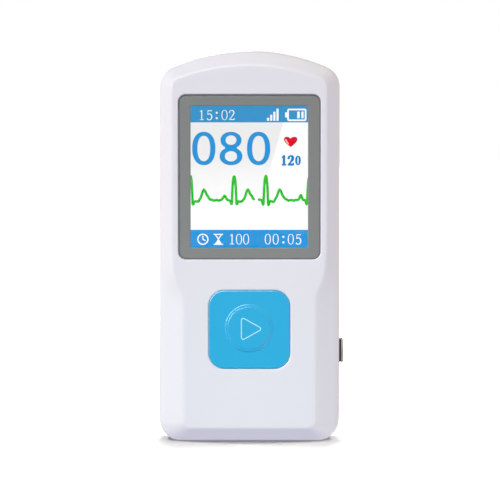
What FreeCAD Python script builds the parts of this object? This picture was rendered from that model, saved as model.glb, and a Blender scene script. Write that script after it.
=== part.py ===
"""Handheld home ECG monitor: a slim two-shell case with an arched top, a colour display
behind a grey bezel, one large square measuring key, a power key on the right edge, and
two stainless contact plates on the back.

Row frame, millimetres: X to the user's right, Y into the device (the display faces -Y),
Z up along the case. The origin is the middle of the flat bottom end, on the parting plane
between the two shells.
"""
import FreeCAD
import Part
import math
import os

V = FreeCAD.Vector
os.makedirs("parts", exist_ok=True)

# ---------------------------------------------------------------- driving dimensions
CASE_W = 45.0          # width over the parting plane
CASE_H = 96.85         # height, bottom end to the top of the arch
FRONT_D = 7.5          # parting plane to the front face
REAR_D = 7.2           # parting plane to the rear face
PLATE_PROUD = 0.3      # contact plates stand proud of the rear face
WALL = 1.6             # shell wall
ARCH_R = 48.5          # radius of the arched top end
TOP_R = 5.3            # top corners
FOOT_R = 5.5           # bottom corners
FOOT_CUT = 0.3         # depth trimmed off the rounded outline to give the flat bottom end

FACE_HW_UP = 19.2      # half width of the flat front face beside the display
FACE_HW_LOW = 16.4     # half width of the flat front face beside the key
FACE_TOP = 92.70       # top of the flat front face
FACE_BOT = 3.55        # bottom of the flat front face
FACE_ARCH_R = 51.4
FACE_TOP_R = 2.5
FACE_FOOT_R = 2.1
BEVEL_Y = 3.9          # depth at which the bevel starts

WIN_Z = 65.7           # centre height of the display
BEZ_W, BEZ_H, BEZ_R = 34.7, 40.3, 1.65
BEZ_GAP = 0.25         # mean shadow gap round the bezel
BEZ_DX, BEZ_DZ = 0.1, -0.1       # the bezel's outer edge sits towards the pocket's lower right corner
APE_W, APE_H = 29.0, 35.1        # opening of the bezel
BEZ_OUT = 7.28         # front of the bezel, 0.22 below the front face
POCKET_Y = 6.10        # floor of the display pocket
SHELF_Y = 5.45         # back of the shelf behind the pocket

KEY_Z = 27.9           # centre height of the measuring key
KEY_W, KEY_H, KEY_R = 20.1, 19.4, 3.9
KEY_OUT = 7.5          # front of the key, flush with the face
KEY_GAP = 0.10
KEY_TRAVEL = 0.35
DISC_Z = KEY_Z + 0.5   # centre of the raised round step on the key

PKEY_Z = 22.2          # centre height of the power key
PKEY_H, PKEY_T = 6.0, 2.6
PKEY_X = 23.55         # outermost point of the power key
PKEY_TRAVEL = 0.35

PCB_F, PCB_B = -2.0, -0.8        # front and back faces of the board
PLATE_W, PLATE_H, PLATE_R = 24.0, 11.0, 3.0
PLATE_Z = (80.0, 15.0)
SCREW_X = 15.9
SCREW_Z = (7.6, 87.2)
BSCREW = (14.3, 36.0)
BUZZ_Z = 70.8
BATT = (-15.0, 15.0, 1.5, 5.2, 26.5, 66.0)   # x0, x1, y0, y1, z0, z1


# ---------------------------------------------------------------- outline control points
def lerp(a, b, t):
    return a + (b - a) * t


def line(p, q, n):
    """n points from p towards q, the last one left out."""
    return [(lerp(p[0], q[0], i / n), lerp(p[1], q[1], i / n)) for i in range(n)]


def arc(c, r, a0, a1, n):
    """n control points of a circular arc; r grows a little so that the curve itself has radius r."""
    r *= 3 / (2 + math.cos((a1 - a0) / n))
    return [(c[0] + r * math.cos(lerp(a0, a1, i / n)), c[1] + r * math.sin(lerp(a0, a1, i / n)))
            for i in range(n)]


def corner_centre(hw, apex, big, small):
    """Centre of a corner arc of radius small, tangent to x = hw and to the arch."""
    cx = hw - small
    return cx, apex - big + math.sqrt((big - small) ** 2 - cx * cx)


N_FOOT, N_FOOTARC, N_SIDE1, N_TOPARC, N_TOP = 6, 7, 5, 7, 9
Z_SIDE = [34.6, 36.0, 37.3, 38.6, 40.1, 42.0, 44.4, 48.0, 54.0]   # bend of the front face's edge
HW_SIDE = [0.0, 0.035, 0.19, 0.41, 0.64, 0.83, 0.93, 0.975, 1.0]
N_SIDE2 = 6


def half_outline(kind):
    """Right half, from the bottom centre to the top centre, without the last point."""
    if kind == "outer":
        hw, bot, r1, apex, big, r2 = CASE_W / 2, -FOOT_CUT, FOOT_R, CASE_H, ARCH_R, TOP_R
    else:
        hw, bot, r1, apex, big, r2 = FACE_HW_UP, FACE_BOT, FACE_FOOT_R, FACE_TOP, FACE_ARCH_R, FACE_TOP_R
    low = CASE_W / 2 if kind == "outer" else FACE_HW_LOW
    cx, cz = corner_centre(hw, apex, big, r2)
    tilt = math.atan2(cz - (apex - big), cx)
    pts = line((0.0, bot), (low - r1, bot), N_FOOT)
    pts += arc((low - r1, bot + r1), r1, -math.pi / 2, 0.0, N_FOOTARC)
    pts += line((low, bot + r1), (low, Z_SIDE[0]), N_SIDE1)
    pts += [(lerp(low, hw, s), z) for z, s in zip(Z_SIDE, HW_SIDE)][:-1]
    pts += line((hw, Z_SIDE[-1]), (hw, cz), N_SIDE2)
    pts += arc((cx, cz), r2, 0.0, tilt, N_TOPARC)
    pts += arc((0.0, apex - big), big, tilt, math.pi / 2, N_TOP)
    top = (0.0, apex)
    return pts, top


def outline(kind):
    right, top = half_outline(kind)
    left = [(-x, z) for x, z in reversed(right[1:])]
    return right + [top] + left


OUTER = outline("outer")
FACE = outline("face")
N = len(OUTER)
assert len(FACE) == N


def inset(pts, d):
    """Moves each point inwards by d, along the mean of its two edges' normals."""
    out = []
    for i, (x, z) in enumerate(pts):
        x0, z0 = pts[i - 1]
        x1, z1 = pts[(i + 1) % len(pts)]
        tx, tz = x1 - x0, z1 - z0
        length = math.hypot(tx, tz)
        out.append((x - tz / length * d, z + tx / length * d))
    return out


def mix(a, b, t):
    return [(lerp(p[0], q[0], t), lerp(p[1], q[1], t)) for p, q in zip(a, b)]


N_HALF = N // 2
CUTS = [N_FOOT, N_FOOT + N_FOOTARC, N_FOOT + N_FOOTARC + N_SIDE1,
        N_FOOT + N_FOOTARC + N_SIDE1 + len(Z_SIDE) // 2, N_FOOT + N_FOOTARC + N_SIDE1 + len(Z_SIDE) - 1,
        N_FOOT + N_FOOTARC + N_SIDE1 + len(Z_SIDE) - 1 + N_SIDE2,
        N_FOOT + N_FOOTARC + N_SIDE1 + len(Z_SIDE) - 1 + N_SIDE2 + N_TOPARC]
# where the skin is split into faces, as knots of the closed outline
U_CUTS = [0] + CUTS + [N_HALF] + [N - c for c in reversed(CUTS)] + [N]


def rows_solid(rows):
    """Solid bounded by a cubic B-spline skin over rows = [(y, points), ...] and two flat caps."""
    m = len(rows)
    poles = [[V(rows[j][1][i][0], rows[j][0], rows[j][1][i][1]) for j in range(m)] for i in range(N)]
    s = Part.BSplineSurface()
    s.buildFromPolesMultsKnots(poles, [1] * (N + 1), [4] + [1] * (m - 4) + [4],
                               list(range(N + 1)), list(range(m - 2)), True, False, 3, 3)
    last = m - 3
    steps = max(1, round(last / 3))
    v_cuts = sorted({round(last * k / steps) for k in range(steps + 1)})
    faces, rims = [], {0: [], last: []}
    for u0, u1 in zip(U_CUTS, U_CUTS[1:]):
        for v0, v1 in zip(v_cuts, v_cuts[1:]):
            p = s.copy()
            p.segment(u0, u1, v0, v1)
            faces.append(p.toShape())
            if v0 == 0:
                rims[0].append(p.vIso(p.bounds()[2]).toShape())
            if v1 == last:
                rims[last].append(p.vIso(p.bounds()[3]).toShape())
    for edges in rims.values():
        faces.append(Part.Face(Part.Wire(Part.__sortEdges__(edges))))
    shell = Part.makeShell(faces)
    shell.sewShape()
    solid = Part.Solid(shell)
    if solid.Volume < 0:
        solid.reverse()
    return solid


def prism(pts, y0, y1):
    """Straight prism over a closed smooth outline."""
    c = Part.BSplineCurve()
    c.buildFromPolesMultsKnots([V(x, y0, z) for x, z in pts], [1] * (N + 1), list(range(N + 1)), True, 3)
    edges = []
    for u0, u1 in zip(U_CUTS, U_CUTS[1:]):
        p = c.copy()
        p.segment(u0, u1)
        edges.append(p.toShape())
    return Part.Face(Part.Wire(edges)).extrude(V(0, y1 - y0, 0))


# ---------------------------------------------------------------- plain helpers
def box(x0, x1, y0, y1, z0, z1):
    return Part.makeBox(x1 - x0, y1 - y0, z1 - z0, V(x0, y0, z0))


def cyl_y(x, z, r, y0, y1):
    return Part.makeCylinder(r, y1 - y0, V(x, y0, z), V(0, 1, 0))


def rrect(w, h, r, y0, y1, cx=0.0, cz=0.0):
    """Rounded rectangle in the XZ plane, from y0 to y1."""
    x0, x1, z0, z1 = cx - w / 2, cx + w / 2, cz - h / 2, cz + h / 2
    k = r * (1 - math.sqrt(0.5))
    e = [Part.LineSegment(V(x0 + r, y0, z0), V(x1 - r, y0, z0)),
         Part.Arc(V(x1 - r, y0, z0), V(x1 - k, y0, z0 + k), V(x1, y0, z0 + r)),
         Part.LineSegment(V(x1, y0, z0 + r), V(x1, y0, z1 - r)),
         Part.Arc(V(x1, y0, z1 - r), V(x1 - k, y0, z1 - k), V(x1 - r, y0, z1)),
         Part.LineSegment(V(x1 - r, y0, z1), V(x0 + r, y0, z1)),
         Part.Arc(V(x0 + r, y0, z1), V(x0 + k, y0, z1 - k), V(x0, y0, z1 - r)),
         Part.LineSegment(V(x0, y0, z1 - r), V(x0, y0, z0 + r)),
         Part.Arc(V(x0, y0, z0 + r), V(x0 + k, y0, z0 + k), V(x0 + r, y0, z0))]
    return Part.Face(Part.Wire([g.toShape() for g in e])).extrude(V(0, y1 - y0, 0))


def rrect_yz(h, t, r, x0, x1, cz, cy=0.0):
    """Rounded rectangle in the YZ plane (h along Z, t along Y), from x0 to x1."""
    s = rrect(h, t, r, 0.0, x1 - x0)
    s.Placement = FreeCAD.Placement(FreeCAD.Matrix(0, 1, 0, x0, 0, 0, 1, cy, 1, 0, 0, cz, 0, 0, 0, 1))
    return s


def rrect_xy(w, t, r, z0, z1, cx=0.0, cy=0.0):
    """Rounded rectangle in the XY plane (w along X, t along Y), from z0 to z1."""
    s = rrect(w, t, r, 0.0, z1 - z0)
    s.Placement = FreeCAD.Placement(FreeCAD.Matrix(1, 0, 0, cx, 0, 0, -1, cy, 0, 1, 0, z0, 0, 0, 0, 1))
    return s


def edges_at_y(shape, y, tol=1e-4):
    return [e for e in shape.Edges if abs(e.BoundBox.YMin - y) < tol and abs(e.BoundBox.YMax - y) < tol]


def fuse(first, *rest):
    out = first
    for r in rest:
        out = out.fuse(r)
    return out.removeSplitter()


def group(shapes):
    return Part.makeCompound(shapes)


made = {}


def save(name, shape):
    shape = shape if shape.ShapeType in ("Solid", "Compound") else Part.Solid(shape)
    solids = shape.Solids
    assert solids, name
    for s in solids:
        assert s.isValid() and s.Volume > 0, (name, s.isValid(), s.Volume)
    out = solids[0] if len(solids) == 1 else Part.makeCompound(solids)
    out.exportStep("parts/%s.step" % name)
    made[name] = out
    bb = out.BoundBox
    print("%-24s %2d solid(s) %9.2f mm3  x %.2f..%.2f y %.2f..%.2f z %.2f..%.2f" % (
        name, len(solids), out.Volume, bb.XMin, bb.XMax, bb.YMin, bb.YMax, bb.ZMin, bb.ZMax))


BELOW = box(-40, 40, -20, 20, -10, 0)     # everything under the flat bottom end


# ---------------------------------------------------------------- shells
def front_rows():
    """Outer skin of the front shell: parting edge, side wall, bevel, flat face."""
    rim = inset(OUTER, 0.40)
    rows = [(0.0, inset(OUTER, 0.20)), (-0.12, inset(OUTER, 0.04)), (-0.35, OUTER),
            (-1.7, inset(OUTER, 0.02)), (-2.9, inset(OUTER, 0.10)), (-BEVEL_Y, rim)]
    for a in (0.2, 0.48, 0.76, 1.0):
        rows.append((-lerp(BEVEL_Y, FRONT_D, a), mix(rim, FACE, a)))
    rows += [(-FRONT_D, inset(FACE, d)) for d in (0.65, 1.1)]
    return rows


def front_cavity_rows():
    rim = inset(OUTER, WALL + 0.12)
    face = inset(FACE, 0.7)
    y1, y2 = 3.2, FRONT_D - WALL
    rows = [(0.6, inset(OUTER, WALL)), (-0.4, inset(OUTER, WALL)), (-1.4, inset(OUTER, WALL)),
            (-2.4, inset(OUTER, WALL + 0.06)), (-y1, rim)]
    for a in (0.3, 0.7, 1.0):
        rows.append((-lerp(y1, y2, a), mix(rim, face, a)))
    rows.append((-y2, inset(FACE, 1.6)))
    return rows


def rear_rows():
    return [(0.0, inset(OUTER, 0.20)), (0.12, inset(OUTER, 0.04)), (0.35, OUTER),
            (1.7, inset(OUTER, 0.02)), (3.2, inset(OUTER, 0.07)), (4.9, inset(OUTER, 0.22)),
            (6.2, inset(OUTER, 0.75)), (6.95, inset(OUTER, 1.6)), (REAR_D, inset(OUTER, 2.6)),
            (REAR_D, inset(OUTER, 3.2)), (REAR_D, inset(OUTER, 3.8))]


def rear_cavity_rows():
    b = REAR_D - WALL
    return [(-0.6, inset(OUTER, WALL)), (0.4, inset(OUTER, WALL)), (1.6, inset(OUTER, WALL)),
            (3.4, inset(OUTER, WALL + 0.2)), (4.7, inset(OUTER, WALL + 0.7)),
            (b, inset(OUTER, WALL + 1.6)), (b, inset(OUTER, WALL + 2.4))]


front_outer = rows_solid(front_rows())
front_cav = rows_solid(front_cavity_rows())
rear_outer = rows_solid(rear_rows())
rear_cav = rows_solid(rear_cavity_rows())

usb_cut = rrect_xy(8.3, 3.2, 1.2, -1.0, 2.6, 0.0, 0.45)
pkey_cut = rrect_yz(PKEY_H + 0.3, PKEY_T + 0.3, 0.9, 20.0, 26.0, PKEY_Z)
rebate = prism(inset(OUTER, 0.75), -1.35, 0.6)
lip = prism(inset(OUTER, 0.85), -1.2, 0.7).cut(prism(inset(OUTER, 1.5), -1.3, 0.8))

# front cover
fc = front_outer.cut(front_cav)
fc = fc.fuse(box(-19.4, 19.4, -5.95, -SHELF_Y, 43.7, 87.7).common(front_outer))       # display shelf
posts = [cyl_y(sx * SCREW_X, z, 2.1, -6.4, 0.0) for sx in (-1, 1) for z in SCREW_Z]
posts += [cyl_y(sx * BSCREW[0], BSCREW[1], 1.8, -6.4, PCB_F) for sx in (-1, 1)]
for p in posts:
    fc = fc.fuse(p.common(front_outer))
# low ribs that locate the measuring key's flange
for sx in (-1, 1):
    fc = fc.fuse(box(min(sx * 11.5, sx * 12.3), max(sx * 11.5, sx * 12.3), -6.2, -4.3, 22.0, 33.0))
fc = fc.cut(rebate)
fc = fc.fuse(group([cyl_y(sx * SCREW_X, z, 2.1, -2.0, 0.0) for sx in (-1, 1) for z in SCREW_Z]))
fc = fc.cut(rrect(BEZ_W + 2 * BEZ_GAP, BEZ_H + 2 * BEZ_GAP, BEZ_R + BEZ_GAP, -9, -POCKET_Y, 0, WIN_Z))
fc = fc.cut(rrect(30.2, 36.2, 0.6, -9, -4, 0, WIN_Z))
fc = fc.cut(rrect(KEY_W + 2 * KEY_GAP, KEY_H + 2 * KEY_GAP, KEY_R + KEY_GAP, -9, -4.5, 0, KEY_Z))
for sx in (-1, 1):
    for z in SCREW_Z:
        fc = fc.cut(cyl_y(sx * SCREW_X, z, 1.0, -4.8, 1.0))
    fc = fc.cut(cyl_y(sx * BSCREW[0], BSCREW[1], 0.82, -5.2, 0.0))
fc = fc.cut(pkey_cut).cut(usb_cut).cut(BELOW)
save("front_cover", fc)

# rear cover
rc = rear_outer.cut(rear_cav).fuse(lip)
for sx in (-1, 1):
    for z in SCREW_Z:
        rc = rc.fuse(cyl_y(sx * SCREW_X, z, 2.7, 0.0, 6.4).common(rear_outer))
# battery tray ribs
bx0, bx1, by0, by1, bz0, bz1 = BATT
tray = box(bx0 - 1.2, bx1 + 1.2, 4.2, 6.2, bz0 - 1.2, bz1 + 1.2).cut(
    box(bx0 - 0.3, bx1 + 0.3, 4.0, 6.4, bz0 - 0.3, bz1 + 0.3))
tray = tray.cut(box(10.2, 14.6, 3, 5.6, bz1 - 1, bz1 + 3))         # gap for the leads
rc = rc.fuse(tray)
rc = rc.cut(rrect(30.0, 32.0, 1.0, REAR_D - 0.2, 9, 0, 46.0))       # blank label panel
for z in PLATE_Z:
    rc = rc.cut(rrect(PLATE_W + 0.3, PLATE_H + 0.3, PLATE_R + 0.15, REAR_D - 0.3, 9, 0, z))
    rc = rc.cut(cyl_y(0, z, 1.6, 5, 8))
    for sx in (-8, 8):
        rc = rc.cut(cyl_y(sx, z, 1.1, 5, 8))
for sx in (-1, 1):
    for z in SCREW_Z:
        rc = rc.cut(cyl_y(sx * SCREW_X, z, 1.15, -3, 8))
        rc = rc.cut(cyl_y(sx * SCREW_X, z, 2.1, 3.4, 9))
for i in range(-2, 3):
    rc = rc.cut(cyl_y(i * 2.3, BUZZ_Z - 0.3, 0.55, 5, 9))
rc = rc.cut(pkey_cut).cut(usb_cut).cut(BELOW)
save("rear_cover", rc)

# ---------------------------------------------------------------- display stack
bz = rrect(BEZ_W, BEZ_H, BEZ_R, -BEZ_OUT, -6.25, BEZ_DX, WIN_Z + BEZ_DZ)
bz = bz.makeChamfer(0.3, edges_at_y(bz, -BEZ_OUT))
bz = bz.cut(rrect(APE_W, APE_H, 0.3, -9, -5, 0, WIN_Z))
bz = bz.makeChamfer(0.2, [e for e in edges_at_y(bz, -BEZ_OUT)
                          if abs(e.CenterOfMass.x) < APE_W / 2 + 0.01 and abs(e.CenterOfMass.z - WIN_Z) < APE_H / 2 + 0.01])
bz = bz.cut(rrect(31.0, 37.1, 1.0, -6.95, -5, 0, WIN_Z))
save("display_bezel", bz)
save("display_window", rrect(30.8, 36.9, 0.9, -6.94, -6.26, 0, WIN_Z))
save("bezel_tape", rrect(34.3, 39.9, 1.45, -6.25, -POCKET_Y, 0, WIN_Z).cut(
    rrect(31.6, 37.7, 1.0, -7, -5, 0, WIN_Z)))
save("lcd_gasket", rrect(33.2, 38.6, 0.8, -SHELF_Y, -5.1, 0, WIN_Z - 0.7).cut(
    rrect(30.2, 36.2, 0.5, -6, -4, 0, WIN_Z)))
save("lcd_glass", box(-16.6, 16.6, -5.1, -3.8, 43.6, 84.4))
bl = box(-17.1, 17.1, -3.8, -2.15, 42.9, 84.7)
bl = bl.fuse(box(-17.1, -16.7, -4.7, -3.8, 42.9, 84.7)).fuse(box(16.7, 17.1, -4.7, -3.8, 42.9, 84.7))
bl = bl.cut(box(-15.8, 15.8, -2.45, -2.0, 45.0, 83.4)).removeSplitter()
save("lcd_backlight", bl)


def flex():
    """Flat ribbon from the glass, in an S-bend down to the board's connector."""
    t = 0.12
    y_a, y_b, r = -4.3, -2.6, 1.0
    th = math.acos(1 - (y_b - y_a) / (2 * r))
    dz = 2 * r * math.sin(th)
    z_s, z_e = 42.5, 42.5 - dz
    mid = V(0, (y_a + y_b) / 2, (z_s + z_e) / 2)

    def side(o):
        """The path moved by o along +Y on its straights."""
        c1 = V(0, y_a + r, z_s)
        c2 = V(0, y_b - r, z_e)
        r1, r2 = r - o, r + o
        p = [V(0, y_a + o, 43.6), V(0, y_a + o, z_s),
             V(0, c1.y - r1 * math.cos(th / 2), c1.z - r1 * math.sin(th / 2)),
             V(0, c1.y - r1 * math.cos(th), c1.z - r1 * math.sin(th)),
             V(0, c2.y + r2 * math.cos(th / 2), c2.z + r2 * math.sin(th / 2)),
             V(0, y_b + o, z_e), V(0, y_b + o, 39.5)]
        return p
    a, b = side(-t / 2), side(t / 2)
    e = [Part.LineSegment(a[0], a[1]), Part.Arc(a[1], a[2], a[3]), Part.Arc(a[3], a[4], a[5]),
         Part.LineSegment(a[5], a[6]), Part.LineSegment(a[6], b[6]), Part.LineSegment(b[6], b[5]),
         Part.Arc(b[5], b[4], b[3]), Part.Arc(b[3], b[2], b[1]), Part.LineSegment(b[1], b[0]),
         Part.LineSegment(b[0], a[0])]
    f = Part.Face(Part.Wire([g.toShape() for g in e]))
    s = f.extrude(V(12.0, 0, 0))
    s.translate(V(-6.0, 0, 0))
    return s


save("lcd_flex", flex())
con = box(-7.2, 7.2, -2.95, PCB_F, 37.9, 40.4).cut(box(-6.2, 6.2, -2.72, -2.48, 39.1, 41))
con = con.cut(box(-6.6, 6.6, -3.2, -2.72, 37.6, 38.7))
save("lcd_connector", con)

# ---------------------------------------------------------------- board
pcb = box(-19.2, 19.2, PCB_F, PCB_B, 2.8, 91.5)
for sx in (-1, 1):
    x0, x1 = sorted((sx * 13.4, sx * 25))
    pcb = pcb.cut(box(x0, x1, -4, 2, 84.7, 99)).cut(box(x0, x1, -4, 2, -1, 10.3))
    pcb = pcb.cut(cyl_y(sx * BSCREW[0], BSCREW[1], 0.95, -3, 1))
pcb = pcb.removeSplitter()
save("main_board", pcb)

B = PCB_B
save("processor_chip", box(-11.0, -1.0, B, B + 1.4, 42.0, 52.0))
save("ecg_chip", box(5.5, 10.5, B, B + 0.9, 15.5, 20.5))
save("memory_chip", box(5.5, 10.7, B, B + 1.7, 43.5, 48.7))
save("charger_chip", box(6.8, 9.8, B, B + 0.9, 8.6, 11.6))
save("crystal", box(1.6, 4.8, B, B + 0.8, 52.0, 54.5))
rm = box(-12.6, -2.6, B, B + 0.8, 78.0, 91.0).fuse(box(-12.2, -3.0, B + 0.8, B + 2.0, 78.4, 87.4))
save("radio_module", rm.removeSplitter())
cells = []
for x, z, up in [(-13, 40, 0), (-13, 43, 0), (-13, 46, 0), (-8, 38.5, 1), (-4.5, 38.5, 1), (1.5, 47, 0),
                 (1.5, 49.5, 0), (12.8, 44, 0), (12.8, 46.5, 0), (3.0, 15.0, 0), (3.0, 18.0, 0),
                 (12.2, 17.0, 0), (12.2, 14.0, 0), (-6.5, 14.0, 1), (-9.5, 14.0, 1), (-6.5, 19.0, 1),
                 (-10.5, 8.8, 1), (-7.6, 8.8, 1), (4.6, 84.0, 0), (7.2, 84.0, 0)]:
    w, h = (0.8, 1.6) if up else (1.6, 0.8)
    cells.append(box(x - w / 2, x + w / 2, B, B + 0.5, z - h / 2, z + h / 2))
save("board_passives", group(cells))
save("buzzer", fuse(cyl_y(0, BUZZ_Z, 4.2, B, 2.2)).cut(cyl_y(0, BUZZ_Z, 0.9, 1.6, 3)))

# ---------------------------------------------------------------- measuring key
key = rrect(KEY_W, KEY_H, KEY_R, -KEY_OUT, -5.85, 0, KEY_Z)
key = key.makeFillet(0.34, edges_at_y(key, -KEY_OUT))
disc = cyl_y(0, DISC_Z, 5.89, -KEY_OUT - 0.17, -KEY_OUT + 0.4)
disc = disc.makeFillet(0.14, edges_at_y(disc, -KEY_OUT - 0.17))
disc2 = cyl_y(0, DISC_Z, 5.28, -KEY_OUT - 0.28, -KEY_OUT + 0.4)
disc2 = disc2.makeFillet(0.10, edges_at_y(disc2, -KEY_OUT - 0.28))
key = key.fuse(rrect(KEY_W + 2.0, KEY_H + 2.0, KEY_R + 1.0, -5.85, -5.05, 0, KEY_Z))
key = key.cut(rrect(KEY_W - 2.8, KEY_H - 2.8, KEY_R - 1.4, -6.45, -4.5, 0, KEY_Z))
key = key.fuse(cyl_y(0, KEY_Z, 1.7, -6.6, -4.1))
key = key.fuse(box(-9, 9, -6.6, -5.2, KEY_Z - 0.4, KEY_Z + 0.4)).fuse(
    box(-0.4, 0.4, -6.6, -5.2, KEY_Z - 8.6, KEY_Z + 8.6))
key = key.fuse(disc).fuse(disc2).removeSplitter()
save("measure_key", key)
sw = box(-3.0, 3.0, -3.55, PCB_F, KEY_Z - 3.0, KEY_Z + 3.0).cut(cyl_y(0, KEY_Z, 1.8, -4.0, -2.55))
for sx in (-1, 1):
    for sz in (-1, 1):
        x0, x1 = sorted((sx * 3.0, sx * 4.2))
        sw = sw.fuse(box(x0, x1, PCB_F - 0.15, PCB_F, KEY_Z + sz * 2.2 - 0.35, KEY_Z + sz * 2.2 + 0.35))
save("measure_switch", sw.removeSplitter())
save("measure_switch_plunger", cyl_y(0, KEY_Z, 1.7, -4.1, -2.95))

# ---------------------------------------------------------------- power key
pk = rrect_yz(PKEY_H, PKEY_T, 0.85, 20.5, PKEY_X, PKEY_Z)
# the outer face falls away a little towards the top
wedge = Part.Face(Part.makePolygon([V(PKEY_X, -3, PKEY_Z - PKEY_H / 2), V(PKEY_X + 2, -3, PKEY_Z - PKEY_H / 2),
                                    V(PKEY_X + 2, -3, PKEY_Z + 4), V(PKEY_X - 0.18, -3, PKEY_Z + 4),
                                    V(PKEY_X, -3, PKEY_Z - PKEY_H / 2)])).extrude(V(0, 6, 0))
pk = pk.cut(wedge)
outer_edges = [e for e in pk.Edges if e.BoundBox.XMin > 22.9]
try:
    pk = pk.makeFillet(0.3, outer_edges)
except Exception as err:
    print("power key fillet left out:", err)
pk = pk.fuse(rrect_yz(PKEY_H + 2.0, PKEY_T + 1.6, 1.0, 20.2, 20.82, PKEY_Z))
pk = pk.fuse(Part.makeCylinder(0.8, 0.8, V(19.6, 0, PKEY_Z), V(1, 0, 0))).removeSplitter()
save("power_key", pk)
ps = box(14.6, 18.4, B, 0.8, PKEY_Z - 2.25, PKEY_Z + 2.25).cut(
    box(17.4, 19, -0.5, 0.5, PKEY_Z - 1.05, PKEY_Z + 1.05))
for sz in (-1, 1):
    ps = ps.fuse(box(15.6, 16.6, B, B + 0.2, min(PKEY_Z + sz * 2.2, PKEY_Z + sz * 3.0), max(PKEY_Z + sz * 2.2, PKEY_Z + sz * 3.0)))
save("power_switch", ps.removeSplitter())
save("power_switch_plunger", box(17.85, 19.6, -0.42, 0.42, PKEY_Z - 0.95, PKEY_Z + 0.95))

# ---------------------------------------------------------------- battery
cell = box(*BATT)
cell = cell.makeFillet(1.2, [e for e in cell.Edges if e.BoundBox.ZLength > 30])
save("battery", cell)
save("battery_pad", box(-11, 11, by1, REAR_D - WALL, 31, 61))
jx = 12.4
save("battery_connector", box(jx - 2.4, jx + 2.4, B, 2.2, 69.6, 73.4).cut(
    group([cyl_z for cyl_z in (Part.makeCylinder(0.55, 1.4, V(jx + s, 0.9, 69.0), V(0, 0, 1)) for s in (-1, 1))])))


def lead(x):
    """One battery lead: straight runs joined by tangent arcs."""
    t = [V(x, 3.3, bz1), V(x, 3.3, bz1 + 1.6), V(x, 0.9, bz1 + 2.6), V(x, 0.9, 70.2)]
    r = 0.75
    edges, last = [], t[0]
    for i in (1, 2):
        a = (t[i - 1] - t[i]).normalize()
        b = (t[i + 1] - t[i]).normalize()
        turn = math.pi - a.getAngle(b)
        d = r * math.tan(turn / 2)
        p, q = t[i] + a * d, t[i] + b * d
        c_dir = (a + b).normalize()
        m = t[i] + c_dir * (r / math.cos(turn / 2) - r)
        edges += [Part.LineSegment(last, p).toShape(), Part.Arc(p, m, q).toShape()]
        last = q
    edges.append(Part.LineSegment(last, t[3]).toShape())
    path = Part.Wire(edges)
    circle = Part.Wire([Part.Circle(t[0], V(0, 0, 1), 0.42).toShape()])
    s = path.makePipeShell([circle], True, False)
    print("lead volume %.3f, section x length %.3f, radius %.2f" % (s.Volume, math.pi * 0.42 ** 2 * path.Length, r))
    return s


save("battery_lead_red", lead(jx - 1))
save("battery_lead_black", lead(jx + 1))

# ---------------------------------------------------------------- socket
def usb_profile(w, h, k, z0, z1):
    """Socket outline: wide at the board, narrower away from it."""
    y0 = -0.8 + (2.45 - h) / 2
    pts = [(-w / 2, y0), (w / 2, y0), (w / 2, y0 + h - k), (w / 2 - k, y0 + h),
           (-w / 2 + k, y0 + h), (-w / 2, y0 + h - k), (-w / 2, y0)]
    return Part.Face(Part.makePolygon([V(x, y, z0) for x, y in pts])).extrude(V(0, 0, z1 - z0))


save("usb_shell", usb_profile(7.5, 2.45, 0.9, 0.5, 5.9).cut(usb_profile(6.9, 1.85, 0.7, 0.0, 5.6)))
save("usb_tongue", fuse(box(-1.85, 1.85, 0.05, 0.65, 1.0, 5.6), box(-3.2, 3.2, -0.3, 0.85, 5.0, 5.6)))

# ---------------------------------------------------------------- contact plates
nuts = []
for name, z in zip(("upper", "lower"), PLATE_Z):
    pl = rrect(PLATE_W, PLATE_H, PLATE_R, REAR_D - 0.3, REAR_D + PLATE_PROUD, 0, z)
    pl = pl.makeFillet(0.28, edges_at_y(pl, REAR_D + PLATE_PROUD))
    pl = pl.fuse(cyl_y(0, z, 1.5, 5.2, REAR_D - 0.2))
    for sx in (-8, 8):
        pl = pl.fuse(cyl_y(sx, z, 1.0, 4.6, REAR_D - 0.2))
        nuts.append(cyl_y(sx, z, 2.6, REAR_D - WALL - 0.5, REAR_D - WALL).cut(cyl_y(sx, z, 1.03, 4, 7)))
    save("%s_electrode" % name, pl.removeSplitter())
    save("%s_contact_pin" % name, group([
        cyl_y(0, z, 0.9, B, 3.0).fuse(cyl_y(0, z, 1.3, B, B + 0.3)).removeSplitter(),
        cyl_y(0, z, 0.5, 3.0, 5.2)]))
save("electrode_push_nuts", group(nuts))
save("blank_label", rrect(29.6, 31.6, 0.8, REAR_D - 0.2, REAR_D - 0.1, 0, 46.0))


# ---------------------------------------------------------------- fasteners
def screw(x, z, y_seat, head_r, head_h, r, y_tip):
    s = cyl_y(x, z, head_r, y_seat, y_seat + head_h)
    s = s.makeFillet(0.2, edges_at_y(s, y_seat + head_h))
    s = s.fuse(cyl_y(x, z, r, y_tip, y_seat))
    a, b = head_r * 0.62, head_r * 0.14
    cross = box(x - a, x + a, y_seat + head_h * 0.45, y_seat + head_h + 1, z - b, z + b).fuse(
        box(x - b, x + b, y_seat + head_h * 0.45, y_seat + head_h + 1, z - a, z + a))
    return s.cut(cross).removeSplitter()


save("case_screws", group([screw(sx * SCREW_X, z, 3.4, 1.85, 1.3, 0.95, -4.2)
                           for sx in (-1, 1) for z in SCREW_Z]))
save("board_screws", group([screw(sx * BSCREW[0], BSCREW[1], B, 1.4, 0.9, 0.78, -4.9) for sx in (-1, 1)]))

print(len(made), "nodes")
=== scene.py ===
import math

import bmesh
import bpy
import numpy as np
from mathutils import Matrix, Vector
from mathutils.geometry import delaunay_2d_cdt


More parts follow.
